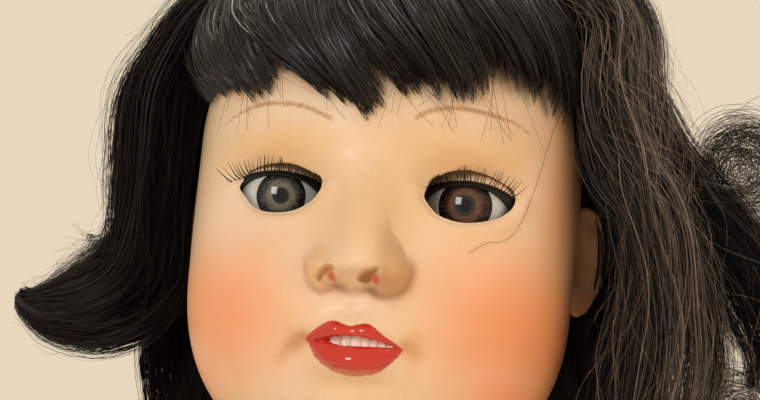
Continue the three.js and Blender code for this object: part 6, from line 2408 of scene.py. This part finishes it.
    def build(self, cotton: Material, lace: Material, ribbon: Material, pearl: Material) -> None:
        """Makes all clothes.

        Args:
            cotton: Finish of the bodice and cuffs.
            lace: Finish of the frills.
            ribbon: Finish of the straps and the waist band.
            pearl: Finish of the buttons.
        """
        bodice = self.bodice(cotton)
        edge = self.lace("neck_lace", lambda t, d: self.around(t, self.top - 2.0 + d, 1.7 + 0 * t), 44, 704,
                         lambda t: 3.2 + 4.6 * ease((np.abs(np.cos(t)) - 0.35) / 0.3), 1.2)
        dress(edge, lace, "torso")
        rim = self.lace("hem_lace", lambda t, d: self.around(t, self.hem(t) + 2.0 - d, 1.6 + 0 * t), 52, 832,
                        lambda t: 4.5 + 0 * t, 1.2)
        dress(rim, lace, "torso")
        straps = [self.strap(side, ribbon) for side in Side]
        self.sash(ribbon)
        self.buttons(pearl)
        for side in Side:
            self.leg_cuff(side, cotton, lace)


def smoothed_rows(rows: Array) -> Array:
    """Evens out the columns of a grid of places, keeping their ends.

    Args:
        rows: Places by row and column.

    Returns:
        The evened places.
    """
    for _ in range(6):
        middle = (rows[:, :-2] + rows[:, 2:]) / 2
        rows = np.concatenate([rows[:, :1], 0.5 * rows[:, 1:-1] + 0.5 * middle, rows[:, -1:]], 1)
    return rows


# Fittings


def dress_fittings(nodes: dict[str, Piece]) -> None:
    """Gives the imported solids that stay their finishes.

    Args:
        nodes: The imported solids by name.
    """
    steel = PlainFinish("steel_wire", (0.46, 0.45, 0.43), (0.28, 0.26, 0.24), 500.0, 0.36, 1.0)
    finishes = {
        "crown_pate": PlainFinish("cork", (0.50, 0.30, 0.15), (0.22, 0.11, 0.05), 420.0, 0.85, relief=0.0003),
        "wig_cap": PlainFinish("net", (0.020, 0.016, 0.013), (0.006, 0.005, 0.004), 900.0, 0.9,
                               relief=0.0002),
        "eye_saddle": PlainFinish("plaster", (0.72, 0.68, 0.60), (0.58, 0.53, 0.45), 300.0, 0.9,
                                  relief=0.0002),
        "eye_weight": PlainFinish("lead", (0.20, 0.20, 0.21), (0.10, 0.10, 0.11), 260.0, 0.55, 0.9,
                                  relief=0.0001),
        "neck_button": PlainFinish("turned_wood", (0.48, 0.27, 0.12), (0.30, 0.15, 0.06), 160.0, 0.55,
                                   stretch=(1.0, 1.0, 8.0)),
        "elastic": PlainFinish("braided_elastic", (0.62, 0.57, 0.47), (0.36, 0.31, 0.24), 1400.0, 0.85,
                               relief=0.0003)}
    made = {key: finish.build() for key, finish in finishes.items()}
    made.update(dict.fromkeys(("hook", "pin", "axle"), steel.build()))
    for name, node in nodes.items():
        key = next((k for k in made if k in name), None)
        if key:
            node.data.materials.clear()
            node.data.materials.append(made[key])


# Stage


@dataclass
class Stage:
    """Camera at the photograph's angle, soft studio light, a pale floor and a beige room."""

    lens: float = 170.0
    sensor: float = 36.0
    image_width: float = 760.0
    distance: float = 886.5
    yaw: float = 7.0
    pitch: float = -7.29
    roll: float = 4.09
    offset: Pair = (-12.2, -3.39)  # the aim's place from the image's middle, pixels
    aim: Vec3 = (0.0, -45.0, 0.0)
    backdrop: Colour = (0.81, 0.68, 0.515)
    ambient: Colour = (1.0, 0.95, 0.89)
    ambient_strength: float = 0.62

    def camera(self) -> None:
        """Makes the camera that sees the photograph's view."""
        yaw, pitch, roll = (math.radians(a) for a in (self.yaw, self.pitch, self.roll))
        back = Vector((math.sin(yaw) * math.cos(pitch), -math.cos(yaw) * math.cos(pitch), math.sin(pitch)))
        right = (-back).cross(Vector((0, 0, 1))).normalized()
        up = right.cross(-back)
        across = right * math.cos(roll) + up * math.sin(roll)
        upright = up * math.cos(roll) - right * math.sin(roll)
        focal = self.lens / self.sensor * self.image_width
        ahead = (-back * focal - across * self.offset[0] + upright * self.offset[1]).normalized()
        across = (across - ahead * across.dot(ahead)).normalized()
        upright = across.cross(ahead)
        place = Vector(to_world(np.array(self.aim))) + back * self.distance * MM
        data = bpy.data.cameras.new("photo_camera")
        data.lens = self.lens
        data.sensor_width = self.sensor
        data.clip_start = 0.05
        data.clip_end = 30
        camera = bpy.data.objects.new("photo_camera", data)
        frame = Matrix((across, upright, -ahead)).transposed().to_4x4()
        camera.matrix_world = Matrix.Translation(place) @ frame
        bpy.context.scene.collection.objects.link(camera)
        bpy.context.scene.camera = camera

    def lamp(self, name: str, place: Vec3, size: Pair, power: float, colour: Colour,
             mirrored: bool = False) -> None:
        """Makes one soft lamp that faces the head and may show in glossy surfaces.

        Args:
            name: Name of the lamp.
            place: Where it hangs, in metres.
            size: Its width and height.
            power: Its power in watts.
            colour: Its colour.
            mirrored: Whether it shows in glossy surfaces.
        """
        data = bpy.data.lights.new(name, "AREA")
        data.shape = "RECTANGLE"
        data.size, data.size_y = size
        data.energy = power
        data.color = colour
        lamp = bpy.data.objects.new(name, data)
        target = Vector((0.0, -0.03, 0.46))
        lamp.location = place
        lamp.visible_glossy = mirrored
        lamp.rotation_euler = (target - Vector(place)).to_track_quat("-Z", "Y").to_euler()
        bpy.context.scene.collection.objects.link(lamp)

    def world(self) -> None:
        """Lights the room evenly and shows it as a beige wall."""
        world = bpy.data.worlds.new("room")
        world.use_nodes = True
        bpy.context.scene.world = world
        graph = Graph(world.node_tree)
        world.node_tree.nodes.clear()
        light, wall = (graph.put("ShaderNodeBackground", {"Color": colour, "Strength": strength}, 0)
                       for colour, strength in ((self.ambient, self.ambient_strength), (self.backdrop, 1.0)))
        graph.either(graph.seen(), light, wall, graph.node("ShaderNodeOutputWorld"))

    def build(self) -> None:
        """Makes camera, lamps, room and floor."""
        self.camera()
        self.world()
        self.lamp("key_window", (-0.41, -1.34, 0.89), (0.32, 0.40), 7.0, (0.96, 0.98, 1.0), True)
        self.lamp("key_soft", (-1.05, -0.95, 0.86), (1.0, 1.0), 3.6, (1.0, 0.92, 0.82))
        self.lamp("top_soft", (0.05, 0.12, 1.45), (1.0, 0.34), 9.0, (1.0, 0.96, 0.92), True)
        self.lamp("fill", (1.25, -0.80, 0.60), (0.9, 0.9), 6.4, (1.0, 0.78, 0.56))
        self.floor()

    def floor(self) -> None:
        """A pale floor that takes shadows near the doll and melts into the room further off."""
        corners = np.array([(-6, -6, 0), (6, -6, 0), (6, 6, 0), (-6, 6, 0)], float)
        floor = mesh_object("floor", corners, np.array([(0, 1, 2, 3)]))
        material, graph, shader = new_material("pale_floor")
        cloud = graph.noise(graph.place(), 9.0, 3.0)
        colour = graph.mix(cloud, (0.80, 0.69, 0.55), (0.77, 0.66, 0.52))
        settle(graph, shader, Base_Color=colour, Roughness=0.8, Specular_IOR_Level=0.1)
        glow = graph.put("ShaderNodeEmission", {"Color": self.backdrop}, 0)
        far = graph.put("ShaderNodeVectorMath", {0: graph.place()}, "Value", operation="LENGTH")
        share = graph.math("MULTIPLY", graph.span(far, 0.35, 1.1), graph.seen())
        end = next(n for n in graph.tree.nodes if n.type == "OUTPUT_MATERIAL")
        graph.either(share, shader.outputs[0], glow, end)
        floor.data.materials.append(material)


def main() -> None:
    """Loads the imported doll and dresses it."""
    logging.basicConfig(level=logging.INFO, format="%(name)s: %(message)s")
    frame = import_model()
    Stage().build()
    bpy.context.scene.view_settings.view_transform = "Standard"
    LOG.info("stage made")
    bisque = SkinFinish("painted_bisque").build()
    Face().build(bisque)
    Ear().build(bisque)
    LOG.info("head made")
    eyes = {
        Side.RIGHT: EyeFinish("eye_grey", 6.45, 2.1, (0.003, 0.004, 0.005), (0.010, 0.014, 0.018),
                              (0.150, 0.138, 0.094), (0.044, 0.052, 0.054), (0.007, 0.008, 0.009)).build(),
        Side.LEFT: EyeFinish("eye_brown", 7.1, 2.7, (0.003, 0.003, 0.003), (0.020, 0.026, 0.024),
                             (0.115, 0.055, 0.030), (0.030, 0.014, 0.010), (0.007, 0.004, 0.004)).build()}
    # The lids are painted paler than the face, as painted light where the socket's rim shades them
    lid = PlainFinish("lid_paint", (0.94, 0.62, 0.38), (0.88, 0.52, 0.29), 400.0, 0.42, coat=0.1).build()
    lash = PlainFinish("lash_fibre", (0.010, 0.007, 0.006), (0.005, 0.004, 0.003), 500.0, 0.65).build()
    Eyes().build(eyes, lid, lash)
    LOG.info("eyes made")
    # The left lock's and the loose hairs' pale brown strands paint the light and sheen they catch
    Wig().build(
        HairFinish("wig_hair").build(), HairFinish("wig_hair_glossy", roughness=0.36, gloss=0.42).build(),
        HairFinish("wig_hair_faded", (0.011, 0.0085, 0.007), (0.27, 0.20, 0.155), gloss=0.5).build(),
        HairFinish("wig_hair_loose", (0.03, 0.02, 0.014), (0.44, 0.29, 0.18), gloss=0.4).build(),
        HairFinish("wig_core", core=True).build())
    LOG.info("wig made")
    porcelain = PlainFinish("tooth_porcelain", (0.92, 0.78, 0.69), (0.86, 0.66, 0.56), 700.0, 0.28, coat=0.5)
    Teeth().build(porcelain.build())
    LOG.info("teeth made")
    Body().build(frame["nodes"], SkinFinish("painted_composition", painted=False).build())
    LOG.info("body made")
    Clothes().build(
        CottonFinish("cotton").build(),
        CottonFinish("cotton_lace", (0.84, 0.82, 0.77), (0.74, 0.71, 0.65)).build(),
        CottonFinish("ribbon", (0.80, 0.62, 0.56), (0.70, 0.50, 0.44)).build(),
        PlainFinish("pearl", (0.82, 0.78, 0.70), (0.70, 0.64, 0.56), 800.0, 0.25, coat=0.6).build())
    LOG.info("clothes made")
    dress_fittings(frame["nodes"])


if __name__ == "__main__":
    main()
